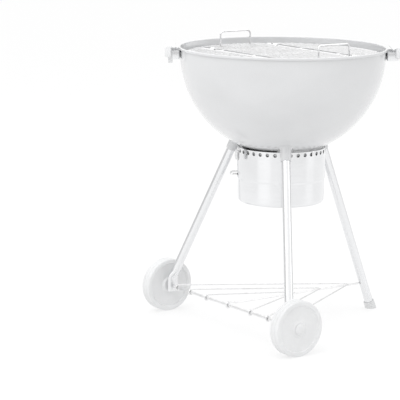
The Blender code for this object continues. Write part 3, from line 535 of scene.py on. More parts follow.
def enamel_look():
    """Fired glass enamel: deep gloss, a faint orange peel, pinholes and slow tone changes."""
    look = Surface("grill_enamel", (0.665, 0.67, 0.678), 0.16, IOR=1.52, Coat_Weight=0.55,
                   Coat_Roughness=0.03)
    look.tone(look.spread(look.noise("Object", (5.0, 5.0, 8.0), 3.0), 0.965, 1.035))
    look.tone(look.spread(look.noise("Object", (420.0, 420.0, 420.0), 2.0), 0.985, 1.015))
    pin = look.spread(look.cells("Object", (260.0, 260.0, 260.0), output="Distance"), 1.0, 0.0, 0.02, 0.06)
    look.tint(look.times(pin, look.spread(look.noise("Object", (30.0, 30.0, 30.0)), 0.0, 0.6, 0.55, 0.7)),
              (0.52, 0.525, 0.53))
    look.rough(look.spread(look.noise("Object", (26.0, 26.0, 26.0), 4.0), 0.11, 0.22))
    look.relief([
        (look.noise("Object", (55.0, 55.0, 55.0), 1.0), 0.18, 0.0006),
        (look.noise("Object", (520.0, 520.0, 520.0), 1.0), 0.10, 0.00012)])
    return look.material


def tube_look():
    """Drawn aluminium tube: fine lines along its length, a few handling marks."""
    look = Surface("grill_leg_tube", (0.84, 0.845, 0.855), 0.24, Metallic=1.0)
    lines = look.noise("UV", (900.0, 3.0, 1.0), 2.0, 0.5)
    look.tone(look.spread(lines, 0.965, 1.02))
    marks = look.spread(look.noise("UV", (160.0, 26.0, 1.0), 3.0, 0.6), 0.0, 1.0, 0.60, 0.72)
    look.tint(look.times(marks, look.spread(lines, 0.0, 0.30)), (0.72, 0.725, 0.74))
    look.rough(look.spread(look.noise("UV", (120.0, 5.0, 1.0), 2.0), 0.21, 0.29))
    look.relief([(lines, 0.04, 0.00002)])
    return look.material


def bucket_look():
    """Spun and brushed aluminium: hair lines run round the bucket."""
    look = Surface("grill_bucket_aluminium", (0.84, 0.845, 0.855), 0.22, Metallic=1.0, Anisotropic=0.8,
                   Anisotropic_Rotation=0.25)
    lines = look.noise("Object", (7.0, 7.0, 5200.0), 3.0, 0.65)
    broad = look.noise("Object", (3.0, 3.0, 700.0), 2.0)
    look.tone(look.spread(lines, 0.98, 1.015))
    look.tone(look.spread(broad, 0.985, 1.01))
    look.tone(look.spread(look.noise("Object", (16.0, 16.0, 11.0), 4.0), 0.97, 1.02))
    look.rough(look.spread(look.noise("Object", (12.0, 12.0, 240.0), 3.0), 0.18, 0.26))
    look.relief([(lines, 0.07, 0.00002), (look.noise("Object", (36.0, 36.0, 20.0), 2.0), 0.04, 0.0006)])
    return look.material


def plated_look():
    """Bright plating: mirror finish with slight waviness, dulled a little in patches."""
    look = Surface("grill_plated_steel", (0.88, 0.88, 0.885), 0.20, Metallic=1.0)
    look.tone(look.spread(look.noise("Object", (60.0, 60.0, 60.0), 3.0), 0.93, 1.03))
    film = look.spread(look.noise("Object", (18.0, 18.0, 30.0), 4.0, 0.6), 0.0, 0.35, 0.52, 0.72)
    look.tint(film, (0.62, 0.615, 0.605))
    look.rough(look.spread(look.noise("Object", (45.0, 45.0, 45.0), 4.0), 0.14, 0.30))
    look.relief([(look.noise("Object", (320.0, 320.0, 320.0), 2.0), 0.10, 0.0001)])
    return look.material


def fuel_look():
    """Plain rod steel: mill scale and a matt bloom."""
    look = Surface("grill_fuel_steel", (0.66, 0.66, 0.665), 0.45, Metallic=1.0)
    look.tone(look.spread(look.noise("Object", (70.0, 70.0, 70.0), 4.0, 0.6), 0.88, 1.06))
    look.rough(look.spread(look.noise("Object", (110.0, 110.0, 110.0), 3.0), 0.36, 0.58))
    look.relief([(look.noise("Object", (900.0, 900.0, 900.0), 3.0), 0.35, 0.00015)])
    return look.material


def blade_look():
    """Aluminised sheet: spangle of small crystals with rolling lines."""
    look = Surface("grill_blade_steel", (0.72, 0.72, 0.725), 0.38, Metallic=1.0)
    grain = look.cells("Object", (240.0, 240.0, 240.0))
    look.tone(look.spread(grain, 0.90, 1.06, 0.0, 1.0))
    look.tone(look.spread(look.noise("Object", (25.0, 25.0, 25.0), 3.0), 0.95, 1.03))
    look.rough(look.spread(grain, 0.30, 0.48, 0.0, 1.0))
    look.relief([(look.noise("Object", (40.0, 1500.0, 40.0), 2.0), 0.12, 0.00008)])
    return look.material


def plastic_look(name, colour, low, high, pits, wear):
    """Moulded plastic: spark-eroded texture, rubbed smoother and paler in places."""
    look = Surface(name, colour, (low + high) / 2, IOR=1.46)
    pebbles = look.noise("Object", (pits, pits, pits), 2.0, 0.6)
    rub = look.spread(look.noise("Object", (40.0, 40.0, 40.0), 4.0, 0.6), 0.0, 1.0, 0.45, 0.75)
    look.tone(look.spread(pebbles, 0.97, 1.03))
    look.tone(look.spread(look.noise("Object", (12.0, 12.0, 12.0), 3.0), 0.97, 1.03))
    look.tint(look.times(rub, look.spread(pebbles, 0.0, wear)), tuple(min(1.0, c * 1.25) for c in colour))
    look.rough(look.spread(rub, high, low, 0.0, 1.0))
    look.relief([(pebbles, 0.30, 0.00012), (look.noise("Object", (90.0, 90.0, 90.0), 2.0), 0.08, 0.0005)])
    return look.material


LOOKS = {
    "enamel": enamel_look(),
    "leg_tube": tube_look(),
    "bucket_aluminium": bucket_look(),
    "plated_steel": plated_look(),
    "fuel_steel": fuel_look(),
    "blade_steel": blade_look(),
    "grip_plastic": plastic_look("grill_grip_plastic", (0.77, 0.775, 0.78), 0.36, 0.52, 1500.0, 0.35),
    "wheel_plastic": plastic_look("grill_wheel_plastic", (0.76, 0.765, 0.77), 0.42, 0.60, 1100.0, 0.30),
    "foot_plastic": plastic_look("grill_foot_plastic", (0.69, 0.695, 0.70), 0.45, 0.62, 1200.0, 0.30),
}


# ---------------------------------------------------------------- legs and bowl
def leg_line(foot_reach, foot_z):
    """Straight leg line in its radial plane: slope, unit direction downwards and start on the bowl."""
    slope = (foot_reach - LEG_PASS_R) / (BUCKET_TOP_Z - foot_z)
    down = Vector((slope, 0.0, -1.0)).normalized()
    height = BUCKET_TOP_Z
    for _ in range(60):
        reach = foot_reach - slope * (height - foot_z)
        height = sphere_z(reach, BOWL_R)
    start = Vector((foot_reach - slope * (height - foot_z), 0.0, height))
    return slope, down, start


def spine_layout():
    """Height of the rack's spine and the place where it meets the middle of the plain leg."""
    height = AXLE_Z + AXLE_R + RACK_ROD_R + 0.0004 - 0.0036
    slope, _, _ = leg_line(FOOT_Y, 0.0)
    return height, FOOT_Y - slope * height


def leg_layout():
    """Each leg's azimuth, foot reach and the foot height of its straight part."""
    wheel_reach = math.hypot(WHEEL_LEG_X, AXLE_Y)
    right = math.degrees(math.atan2(AXLE_Y, WHEEL_LEG_X))
    return {
        "right": (right, wheel_reach, KINK_Z),
        "left": (180.0 - right, wheel_reach, KINK_Z),
        "front": (90.0, FOOT_Y, 0.0),
    }


def socket_shape(shape, azimuth, reach, foot_z):
    """Flared socket with a weld fillet that runs out on the bowl, and an open mouth with a soft lip."""
    _, down, start = leg_line(reach, foot_z)
    side = Vector((0.0, 1.0, 0.0))
    up = side.cross(down)
    centre = Vector((0.0, 0.0, BOWL_CZ))
    columns = 72

    def wall(t, angle):
        width = SOCKET_FLARE_R + (SOCKET_R - SOCKET_FLARE_R) * max(t, 0.0) / SOCKET_LENGTH
        return start + down * t + (side * math.cos(angle) + up * math.sin(angle)) * width

    rows = [[] for _ in range(7 + 4 + 7 + 3)]
    for column in range(columns):
        angle = math.tau * column / columns
        low, high = -0.05, 0.05
        for _ in range(40):
            middle = (low + high) / 2
            if (wall(middle, angle) - centre).length < BOWL_R:
                low = middle
            else:
                high = middle
        meet = wall(low, angle)
        out = meet - (start + down * low)
        normal = (meet - centre).normalized()
        out = (out - normal * out.dot(normal)).normalized()
        weld = 0.0045
        far = centre + (meet + out * weld - centre).normalized() * (BOWL_R - 0.00025)
        near = wall(low + weld, angle)
        spots = []
        for step in range(7):
            share = step / 6
            bend = meet + (far + near - meet * 2) * 0.06
            spots.append(far * (1 - share) ** 2 + bend * 2 * share * (1 - share) + near * share * share)
        for step in range(1, 5):
            spots.append(wall(low + weld + (SOCKET_LENGTH - 0.0012 - low - weld) * step / 4, angle))
        spoke = side * math.cos(angle) + up * math.sin(angle)
        mouth = start + down * SOCKET_LENGTH
        bore_r = TUBE_R + GAP
        lip = (SOCKET_R - bore_r) / 2
        for step in range(1, 8):
            turn = math.pi * step / 7
            middle = mouth - down * 0.0012 + spoke * (bore_r + lip)
            spots.append(middle + spoke * (lip * math.cos(turn)) + down * (0.0012 * math.sin(turn)))
        for step in range(1, 4):
            spots.append(mouth - down * (0.0012 + 0.009 * step) + spoke * bore_r)
        for row, spot in zip(rows, spots):
            row.append(around(azimuth) @ spot)
    shape.sheet(rows, lambda i, j: (math.tau * SOCKET_R * j / columns, 0.004 * i), wrap=True)


def build_bowl():
    """Spun bowl with a rolled rim, ash vents, a shaft hole and its three leg sockets."""
    low_bead = RIM_Z - 0.007
    hole = 0.0060
    first = math.degrees(math.asin(hole / BOWL_R)) - 90.0
    rim = rounded([
        (BOWL_IN_R, RIM_Z - 0.0060),
        (BOWL_IN_R, RIM_Z),
        (RIM_R, RIM_Z),
        (RIM_R, low_bead),
        (BOWL_R, low_bead - 0.0004),
        (BOWL_R, low_bead - 0.0060)],
        (0.0, 0.0024, 0.0034, 0.0030, 0.0012, 0.0), 8, closed=False)
    outer = arc((0.0, BOWL_CZ), BOWL_R, 0.0, first, 84)
    inner = arc((0.0, BOWL_CZ), BOWL_IN_R, first, 0.0, 72)
    shape = Shape()
    place = CENTRED
    lathe(shape, rim + outer + inner, 216, place)
    shell = shape.mesh("bowl_shell")
    cutters = []
    for step in range(3):
        bm = bmesh.new()
        spot = around(VENT_ANGLE + 120.0 * step) @ Matrix.Translation((0.060, 0.0, BOWL_CZ - BOWL_R + 0.008))
        spot = spot @ Matrix.Diagonal((0.026, 0.014, 1.0, 1.0))
        bmesh.ops.create_cone(bm, cap_ends=True, segments=64, radius1=1.0, radius2=1.0, depth=0.05,
                              matrix=spot)
        cutters.append(as_mesh("vent", bm))
    shell = bore(shell, joined("vents", cutters))
    sockets = Shape()
    for azimuth, reach, foot_z in leg_layout().values():
        socket_shape(sockets, azimuth, reach, foot_z)
    whole = joined("bowl_shell", [shell, sockets.mesh("sockets")])
    add_piece("bowl_shell", whole, "stand", ["bowl"], "enamel", 40.0)


def flattened(spot, azimuth, reach, slope):
    """Where a point of a round wheel leg goes once its lower end is squeezed along the axle."""
    lift = max(0.0, spot.z - KINK_Z)
    centre = around(azimuth) @ Vector((reach - slope * lift, 0.0, 0.0))
    share = min(1.0, max(0.0, (KINK_Z + FLAT_RISE - spot.z) / FLAT_RUN))
    share = share * share * (3.0 - 2.0 * share)
    return Vector((centre.x + (spot.x - centre.x) * (1.0 + (FLAT_ALONG / TUBE_R - 1.0) * share),
                   centre.y + (spot.y - centre.y) * (1.0 + (FLAT_ACROSS / TUBE_R - 1.0) * share), spot.z))


def build_legs():
    """Three aluminium tubes, drilled for the axle, and the moulded foot of the plain one."""
    for side, (azimuth, reach, foot_z) in leg_layout().items():
        slope, down, start = leg_line(reach, foot_z)
        top = start + down * (SOCKET_FLOOR + GAP)
        if side == "front":
            end = Vector((FOOT_Y, 0.0, 0.0)) - down * (0.005 + GAP + TUBE_R * slope)
            path = [top, top.lerp(end, 0.3), top.lerp(end, 0.7), end]
        else:
            kink = Vector((reach, 0.0, KINK_Z))
            squeeze_top = kink + Vector((-slope, 0.0, 1.0)) * (FLAT_RISE + 0.002)
            path = [top] + [squeeze_top.lerp(kink, 0.05 * step) for step in range(11)]
            path += filleted([path[-1], kink, Vector((reach, 0.0, LEG_END_Z))], 0.030, 14)[1:]
        shape = Shape()
        place = around(azimuth)
        outer = wire(shape, path, TUBE_R, 56, place=place, ends="open")
        inner = wire(shape, path, TUBE_R - TUBE_WALL, 56, place=place, ends="open")
        for end in (0, -1):
            shape.sheet([outer[end], inner[end]], lambda i, j: (j * 0.0014, i * TUBE_WALL), wrap=True)
        tube = shape.mesh("leg_tube_" + side)
        drill = Shape()
        if side == "front":
            height, middle = spine_layout()
            wire(drill, [(0.0, AXIS_Y + middle - 2 * TUBE_R, height), (0.0, AXIS_Y + middle, height)],
                 SPINE_R + 2 * GAP, 24, ends="flat")
            tube = bore(tube, drill.mesh("drill"))
        else:
            for vert in tube.vertices:
                vert.co = flattened(vert.co, azimuth, reach, slope)
            wire(drill, [(-WHEEL_X, AXIS_Y + AXLE_Y, AXLE_Z), (WHEEL_X, AXIS_Y + AXLE_Y, AXLE_Z)],
                 AXLE_R + GAP, 32, ends="flat")
            tube = bore(tube, drill.mesh("drill"))
        add_piece("leg_tube_" + side, tube, "stand", ["leg_" + side], "leg_tube")

    azimuth, reach, foot_z = leg_layout()["front"]
    slope, down, _ = leg_line(reach, foot_z)
    cap_r = TUBE_R + 0.0033
    foot = Vector((reach, 0.0, 0.0))
    side = Vector((0.0, 1.0, 0.0))
    up = side.cross(down)
    neck_r = cap_r - 0.0006
    profile = rounded([(TUBE_R + GAP, 0.0235), (cap_r - 0.0004, 0.0240), (cap_r, 0.0195), (neck_r, 0.0188),
                       (neck_r, 0.0170), (cap_r, 0.0163), (cap_r, 0.0140), (neck_r, 0.0133),
                       (neck_r, 0.0115), (cap_r, 0.0108), (cap_r, 0.0)], 0.0006, 4, closed=False)
    shape = Shape()
    rows = []
    sides = 64
    for width, height in [(TUBE_R + GAP, 0.0075)] + profile:
        row = []
        for step in range(sides):
            angle = math.tau * step / sides
            spoke = side * math.cos(angle) + up * math.sin(angle)
            spot = foot - down * height + spoke * width
            floor = 0.0010
            if height <= 0.0:
                spot = spot + down * ((spot.z - floor) / -down.z)
            row.append(around(azimuth) @ spot)
        rows.append(row)
    sole_centre = around(azimuth) @ foot
    for share, height in ((0.985, 0.0004), (0.94, 0.0), (0.5, 0.0)):
        rows.append([Vector((sole_centre.x + (p.x - sole_centre.x) * share,
                             sole_centre.y + (p.y - sole_centre.y) * share, height))
                     for p in rows[len(profile)]])
    shape.sheet(rows, lambda i, j: (j * 0.0016, i * 0.001), wrap=True)
    shape.fan(rows[-1], (sole_centre.x, sole_centre.y, 0.0))
    shape.fan(rows[0], around(azimuth) @ (foot - down * 0.0075))
    add_piece("foot_moulding", shape.mesh("foot_moulding"), "stand", ["foot_cap"], "foot_plastic", 50.0)


# ---------------------------------------------------------------- axle and wheels
def build_running_gear():
    """Axle rod, two moulded wheels and the domed caps pushed on its ends."""
    y = AXIS_Y + AXLE_Y
    end = axle_high.x
    shape = Shape()
    wire(shape, [(-end, y, AXLE_Z), (-end + 0.004, y, AXLE_Z), (end - 0.004, y, AXLE_Z), (end, y, AXLE_Z)],
         AXLE_R, 40)
    add_piece("axle_rod", shape.mesh("axle_rod"), "stand", ["axle"], "plated_steel")

    half = WHEEL_W / 2
    hole = AXLE_R + GAP
    outline = [
        (WHEEL_R, half), (WHEEL_R, 0.0072), (WHEEL_R - 0.0011, 0.0066), (WHEEL_R - 0.0011, 0.0054),
        (WHEEL_R, 0.0048), (WHEEL_R, -0.0048), (WHEEL_R - 0.0011, -0.0054), (WHEEL_R - 0.0011, -0.0066),
        (WHEEL_R, -0.0072), (WHEEL_R, -half), (WHEEL_R - 0.0120, -half), (WHEEL_R - 0.0150, -half + 0.0050),
        (0.0240, -half + 0.0065), (0.0190, -half), (hole, -half), (hole, half), (0.0190, half),
        (0.0240, half - 0.0040), (WHEEL_R - 0.0150, half - 0.0030), (WHEEL_R - 0.0120, half)]
    radii = [0.0085, 0.0004, 0.0003, 0.0003, 0.0004, 0.0004, 0.0003, 0.0003, 0.0004, 0.0085,
             0.0015, 0.0020, 0.0030, 0.0016, 0.0004, 0.0004, 0.0016, 0.0030, 0.0020, 0.0015]
    wheel_profile = rounded(outline, radii, 6)
    cap_profile = rounded([
        (0.0, 0.0052), (0.0100, 0.0048), (0.0150, 0.0014), (0.0150, 0.0), (hole, 0.0), (hole, 0.0032),
        (0.0, 0.0032)],
        (0.0, 0.0050, 0.0012, 0.0004, 0.0003, 0.0004, 0.0), 6, closed=False)
    for name, sign in (("left", -1.0), ("right", 1.0)):
        turn = Matrix.Rotation(sign * math.pi / 2, 4, "Y")
        shape = Shape()
        lathe(shape, wheel_profile, 128, Matrix.Translation((sign * WHEEL_X, y, AXLE_Z)) @ turn)
        add_piece("wheel_moulding_" + name, shape.mesh("wheel_" + name), name + "_wheel", ["wheel_" + name],
                  "wheel_plastic", 40.0)
        shape = Shape()
        spot = Matrix.Translation((sign * (WHEEL_X + half + GAP), y, AXLE_Z))
        lathe(shape, cap_profile, 64, spot @ turn, closed=False)
        add_piece("hub_dome_" + name, shape.mesh("hub_" + name), "stand", ["hub_cap_" + name],
                  "wheel_plastic", 40.0)


# ---------------------------------------------------------------- ash bucket, ring and damper
def build_bucket():
    """Spun ash bucket with its row of round air holes, the wire pull, the ring above and its clips."""
    low_r = BUCKET_R - 0.0022
    step_z = BUCKET_TOP_Z - 0.090
    corner = (low_r - 0.011, BUCKET_LOW_Z + 0.011)
    outer = rounded([(BUCKET_R, BUCKET_TOP_Z - 0.03), (BUCKET_R, step_z + 0.0036), (low_r, step_z - 0.0006),
                     (low_r, step_z - 0.02)], 0.0020, 6, closed=False)
    outer = [(BUCKET_R - 0.0004, BUCKET_TOP_Z), (BUCKET_R, BUCKET_TOP_Z - 0.0004)] + outer
    outer += arc(corner, 0.011, 0.0, -90.0, 14)
    outer += [(0.092, BUCKET_LOW_Z), (0.090, BUCKET_LOW_Z + 0.0008), (0.030, BUCKET_LOW_Z + 0.0008),
              (0.0, BUCKET_LOW_Z + 0.0008)]
    floor = BUCKET_LOW_Z + BUCKET_WALL
    inner = [(0.0, floor + 0.0008), (0.030, floor + 0.0008), (0.090, floor + 0.0008), (0.092, floor)]
    inner += arc(corner, 0.011 - BUCKET_WALL, -90.0, 0.0, 12)
    inside_r = BUCKET_R - BUCKET_WALL
    inner += rounded([(low_r - BUCKET_WALL, step_z - 0.02), (low_r - BUCKET_WALL, step_z - 0.0006),
                      (inside_r, step_z + 0.0036), (inside_r, BUCKET_TOP_Z - 0.03)],
                     0.0020, 6, closed=False)
    inner += [(inside_r, BUCKET_TOP_Z - 0.0004), (inside_r + 0.0004, BUCKET_TOP_Z)]
    shape = Shape()
    lathe(shape, outer + inner, 216, CENTRED)
    shell = shape.mesh("bucket_shell")
    drills = Shape()
    for step in range(36):
        turn = around((step + 0.5) * 10.0)
        height = BUCKET_TOP_Z - 0.0088
        wire(drills, [(BUCKET_R - 0.006, 0.0, height), (BUCKET_R + 0.006, 0.0, height)], 0.0052, 28,
             place=turn, ends="flat")
    shell = bore(shell, drills.mesh("air_holes"))
    add_piece("bucket_shell", shell, "bucket", ["ash_bucket"], "bucket_aluminium", 30.0)

    face = BUCKET_R + GAP
    half = 0.022
    reach = 0.0170
    drop = face - math.sqrt(face * face - half * half)
    path = filleted([(face - drop, -half, 0.0), (face + reach, -half, 0.0), (face + reach, half, 0.0),
                     (face - drop, half, 0.0)], 0.006, 8)
    place = Matrix.Translation((0.0, 0.0, (pull_low.z + pull_high.z) / 2)) @ around(PULL_ANGLE)
    shape = Shape()
    wire(shape, path, 0.0026, 20, place=place)
    for end in (-half, half):
        centre = Vector((face - drop + 0.0004, end, 0.0))
        lathe(shape, [(0.0024, 0.0), (0.0046, 0.0004), (0.0034, 0.0016), (0.0024, 0.0022)], 24,
              place @ Matrix.Translation(centre) @ FACE_OUT, closed=False)
    add_piece("bucket_pull_wire", shape.mesh("bucket_pull_wire"), "bucket", ["bucket_pull"],
              "plated_steel", 50.0)

    inner_r = RING_R - 0.0020
    low = ring_low.z
    notch_floor = sphere_z(RING_R, BOWL_R + LEVER_UNDER_BOWL) - LEVER_SHEET / 2 - 0.0014
    spread = math.degrees(0.006 / RING_R) + 3.0
    first_cut = LEVER_ANGLE - spread
    last_cut = LEVER_ANGLE + DAMPER_TURN + spread
    steps = 240
    rows = [[] for _ in range(9)]
    for step in range(steps):
        angle = math.degrees(math.tau * step / steps)
        inside = (angle - first_cut) % 360.0 < (last_cut - first_cut)
        edge = min((angle - first_cut) % 360.0, (last_cut - angle) % 360.0)
        top_out = sphere_z(RING_R, BOWL_R) - GAP
        top_in = sphere_z(inner_r, BOWL_R) - GAP
        if inside:
            ease = min(1.0, edge / 1.4)
            top_out = top_out + (notch_floor - top_out) * ease
            top_in = top_in + (notch_floor - top_in) * ease
        outline = [(RING_R, low + 0.0004), (RING_R, top_out - 0.0004), (RING_R - 0.0004, top_out),
                   (inner_r + 0.0004, top_in), (inner_r, top_in - 0.0004), (inner_r, low + 0.0004),
                   (inner_r + 0.0004, low), (RING_R - 0.0004, low), (RING_R, low + 0.0004)]
        for row, (r, z) in zip(rows, outline):
            row.append(around(angle) @ Vector((r, 0.0, z)))
    shape = Shape()
    shape.sheet(rows, lambda i, j: (math.tau * RING_R * j / steps, 0.004 * i), wrap=True)
    add_piece("ash_collar", shape.mesh("ash_collar"), "stand", ["ash_ring"], "enamel", 40.0)

    sheet = 0.0012
    ring_face = RING_R + GAP
    lip = BUCKET_R + GAP
    top = BUCKET_TOP_Z + GAP
    path = rounded([(ring_face + sheet / 2, BUCKET_TOP_Z - 0.010), (ring_face + sheet / 2, top + sheet / 2),
                    (lip + sheet / 2, top + sheet / 2), (lip + sheet / 2, BUCKET_TOP_Z - 0.0145)],
                   0.0009, 5, closed=False)
    for number, angle in enumerate(CLIP_ANGLES, 1):
        clip = folded_strip(path, sheet, 0.0045, around(angle), 0.0003, "clip")
        dimple = Shape()
        spot = around(angle) @ Matrix.Translation((lip + sheet - 0.0001, 0.0, BUCKET_TOP_Z - 0.0060))
        lathe(dimple, [(0.0023, 0.0), (0.0018, 0.0005), (0.0008, 0.0008), (0.0, 0.0009)], 24,
              spot @ FACE_OUT, closed=False)
        clip = joined("clip_spring_%d" % number, [clip, dimple.mesh("dimple")])
        add_piece("clip_spring_%d" % number, clip, "stand", ["ring_clip_%d" % number], "plated_steel")


def build_damper():
    """Three pressed sweep blades, their shaft and nut, and the lever with its moulded tab."""
    blade_r = BOWL_IN_R - 0.0018
    hub_low = sphere_z(0.0, blade_r)
    hub_high = hub_low + 0.004
    hole = SHAFT_R + GAP
    shape = Shape()
    place = CENTRED
    lathe(shape, rounded([(hole, hub_low), (0.016, hub_low), (0.016, hub_high), (hole, hub_high)],
                         (0.0002, 0.0006, 0.0012, 0.0002), 5), 72, place)
    for step in range(3):
        middle = VENT_ANGLE - DAMPER_TURN + 120.0 * step
        upper = []
        lower = []
        for column in range(25):
            share = column / 24 * 2 - 1
            top_row = []
            low_row = []
            for rank in range(22):
                along = rank / 21
                reach = 0.0112 + (0.094 - 0.0112) * along
                corner = max(0.0, (along - 0.86) / 0.14)
                half_span = 18.0 * (1.0 - 0.16 * corner * corner)
                lift = 0.0003 * (1.0 - abs(share)) * math.sin(math.pi * min(1.0, along * 1.1))
                spoke = around(middle + share * half_span)
                top_row.append(spoke @ Vector((reach, 0.0, sphere_z(reach, blade_r) + 0.0014 + lift)))
                low_row.append(spoke @ Vector((reach, 0.0, sphere_z(reach, blade_r))))
            upper.append(top_row)
            lower.append(low_row)
        rims = [grid[0] + [row[-1] for row in grid[1:]] + grid[-1][-2::-1] + [row[0] for row in grid[-2:0:-1]]
                for grid in (upper, lower)]
        shape.sheet(upper, lambda i, j: (i * 0.002, j * 0.004))
        shape.sheet(lower, lambda i, j: (i * 0.002, j * 0.004), flip=True)
        shape.sheet(rims, lambda i, j: (j * 0.003, i * 0.0014), wrap=True)
    add_piece("sweep_blades", shape.mesh("sweep_blades"), "damper", ["damper_sweep"], "blade_steel", 35.0)

    eye_high = sphere_z(0.0, BOWL_R + LEVER_UNDER_BOWL) + LEVER_SHEET / 2
    eye_low = eye_high - LEVER_SHEET
    nut_high = eye_low - GAP
    shape = Shape()
    stops = (nut_high - 0.008, nut_high - 0.006, hub_high, hub_high + 0.001)
    wire(shape, [(0, 0, z) for z in stops], SHAFT_R, 32, place=place)
    head = rounded([(0.0, hub_high + GAP), (0.0085, hub_high + GAP), (0.0085, hub_high + 0.0043),
                    (0.0, hub_high + 0.0043)], (0.0, 0.0003, 0.0012, 0.0), 4, closed=False)
    lathe(shape, head, 6, place, closed=False, start=math.pi / 6)
    add_piece("damper_bolt", shape.mesh("damper_bolt"), "damper", ["damper_shaft"], "plated_steel")
    shape = Shape()
    nut_low = nut_high - 0.005
    outline = rounded([(hole, nut_low), (0.0075, nut_low), (0.0075, nut_high), (hole, nut_high)],
                      (0.0003, 0.0009, 0.0009, 0.0003), 3)
    lathe(shape, outline, 6, place)
    add_piece("damper_hex_nut", shape.mesh("damper_hex_nut"), "damper", ["damper_nut"], "plated_steel")

    lever_r = BOWL_R + LEVER_UNDER_BOWL
    reach_out = BUCKET_R + 0.0125
    path = [(reach, sphere_z(reach, lever_r)) for reach in [0.0125 + 0.0089 * step for step in range(13)]]
    path.append((BUCKET_R, sphere_z(BUCKET_R, lever_r)))
    top_z = path[-1][1]
    path += rounded([path[-1], (reach_out, top_z), (reach_out, top_z - 0.030)], (0.0, 0.0030, 0.0), 6,
                    closed=False)[1:]
    strip = folded_strip(path, LEVER_SHEET, 0.006, around(LEVER_ANGLE), 0.0005, "lever")
    shape = Shape()
    eye = rounded([(hole, eye_low), (0.0120, eye_low), (0.0120, eye_high), (hole, eye_high)],
                  (0.0002, 0.0005, 0.0005, 0.0002), 3)
    lathe(shape, eye, 56, place)
    lever = joined("damper_lever_strip", [strip, shape.mesh("eye")])
    add_piece("damper_lever_strip", lever, "damper", ["damper_lever"], "plated_steel")

    low_z = top_z - 0.033
    high_z = top_z - 0.006
    face = reach_out + 0.0010 + GAP
    ribs = [(face, low_z), (face + 0.0048, low_z)]
    for step in range(6):
        z = low_z + 0.0034 + step * 0.0038
        ribs += [(face + 0.0048, z - 0.0011), (face + 0.0060, z - 0.0004), (face + 0.0060, z + 0.0004),
                 (face + 0.0048, z + 0.0011)]
    ribs += [(face + 0.0048, high_z), (face, high_z)]
    tab = solid_prism(rounded(ribs, 0.0005, 3), 0.0085, around(LEVER_ANGLE), 0.0014, 4, "lever_tab")
    add_piece("lever_tab", tab, "damper", ["lever_grip"], "grip_plastic", 50.0)


# ---------------------------------------------------------------- grates
def grate_arc(start, end, count, height=FRAME_Z):
    return [(x, y, height) for x, y in arc((0.0, 0.0), GRATE_R, start, end, count)]


def rod_stops(reach):
    """Stations along a straight rod, close together near its ends."""
    return [-reach, -reach + 0.004, 0.0, reach - 0.004, reach]


def grate_bars(shape, levels, place):
    """Parallel bars across the round grate."""
    for level in levels:
        reach = math.sqrt(GRATE_R * GRATE_R - level * level) - 0.0004
        wire(shape, [(x, level, BAR_Z) for x in rod_stops(reach)], BAR_R, 16, place=place)


def welds(shape, bars, crosses, place):
    """Small flattened weld beads where a bar crosses a rod under it."""
    bead = [(0.0, 0.0013), (0.0012, 0.0012), (0.0024, 0.0007), (0.0031, 0.0), (0.0024, -0.0007),
            (0.0, -0.0009)]
    for x, y in ((x, y) for y in bars for x in crosses):
        if x * x + y * y < (GRATE_R - 0.006) ** 2:
            spot = Matrix.Translation((x, y, FRAME_Z + 0.0022))
            lathe(shape, bead, 10, place @ spot, closed=False)


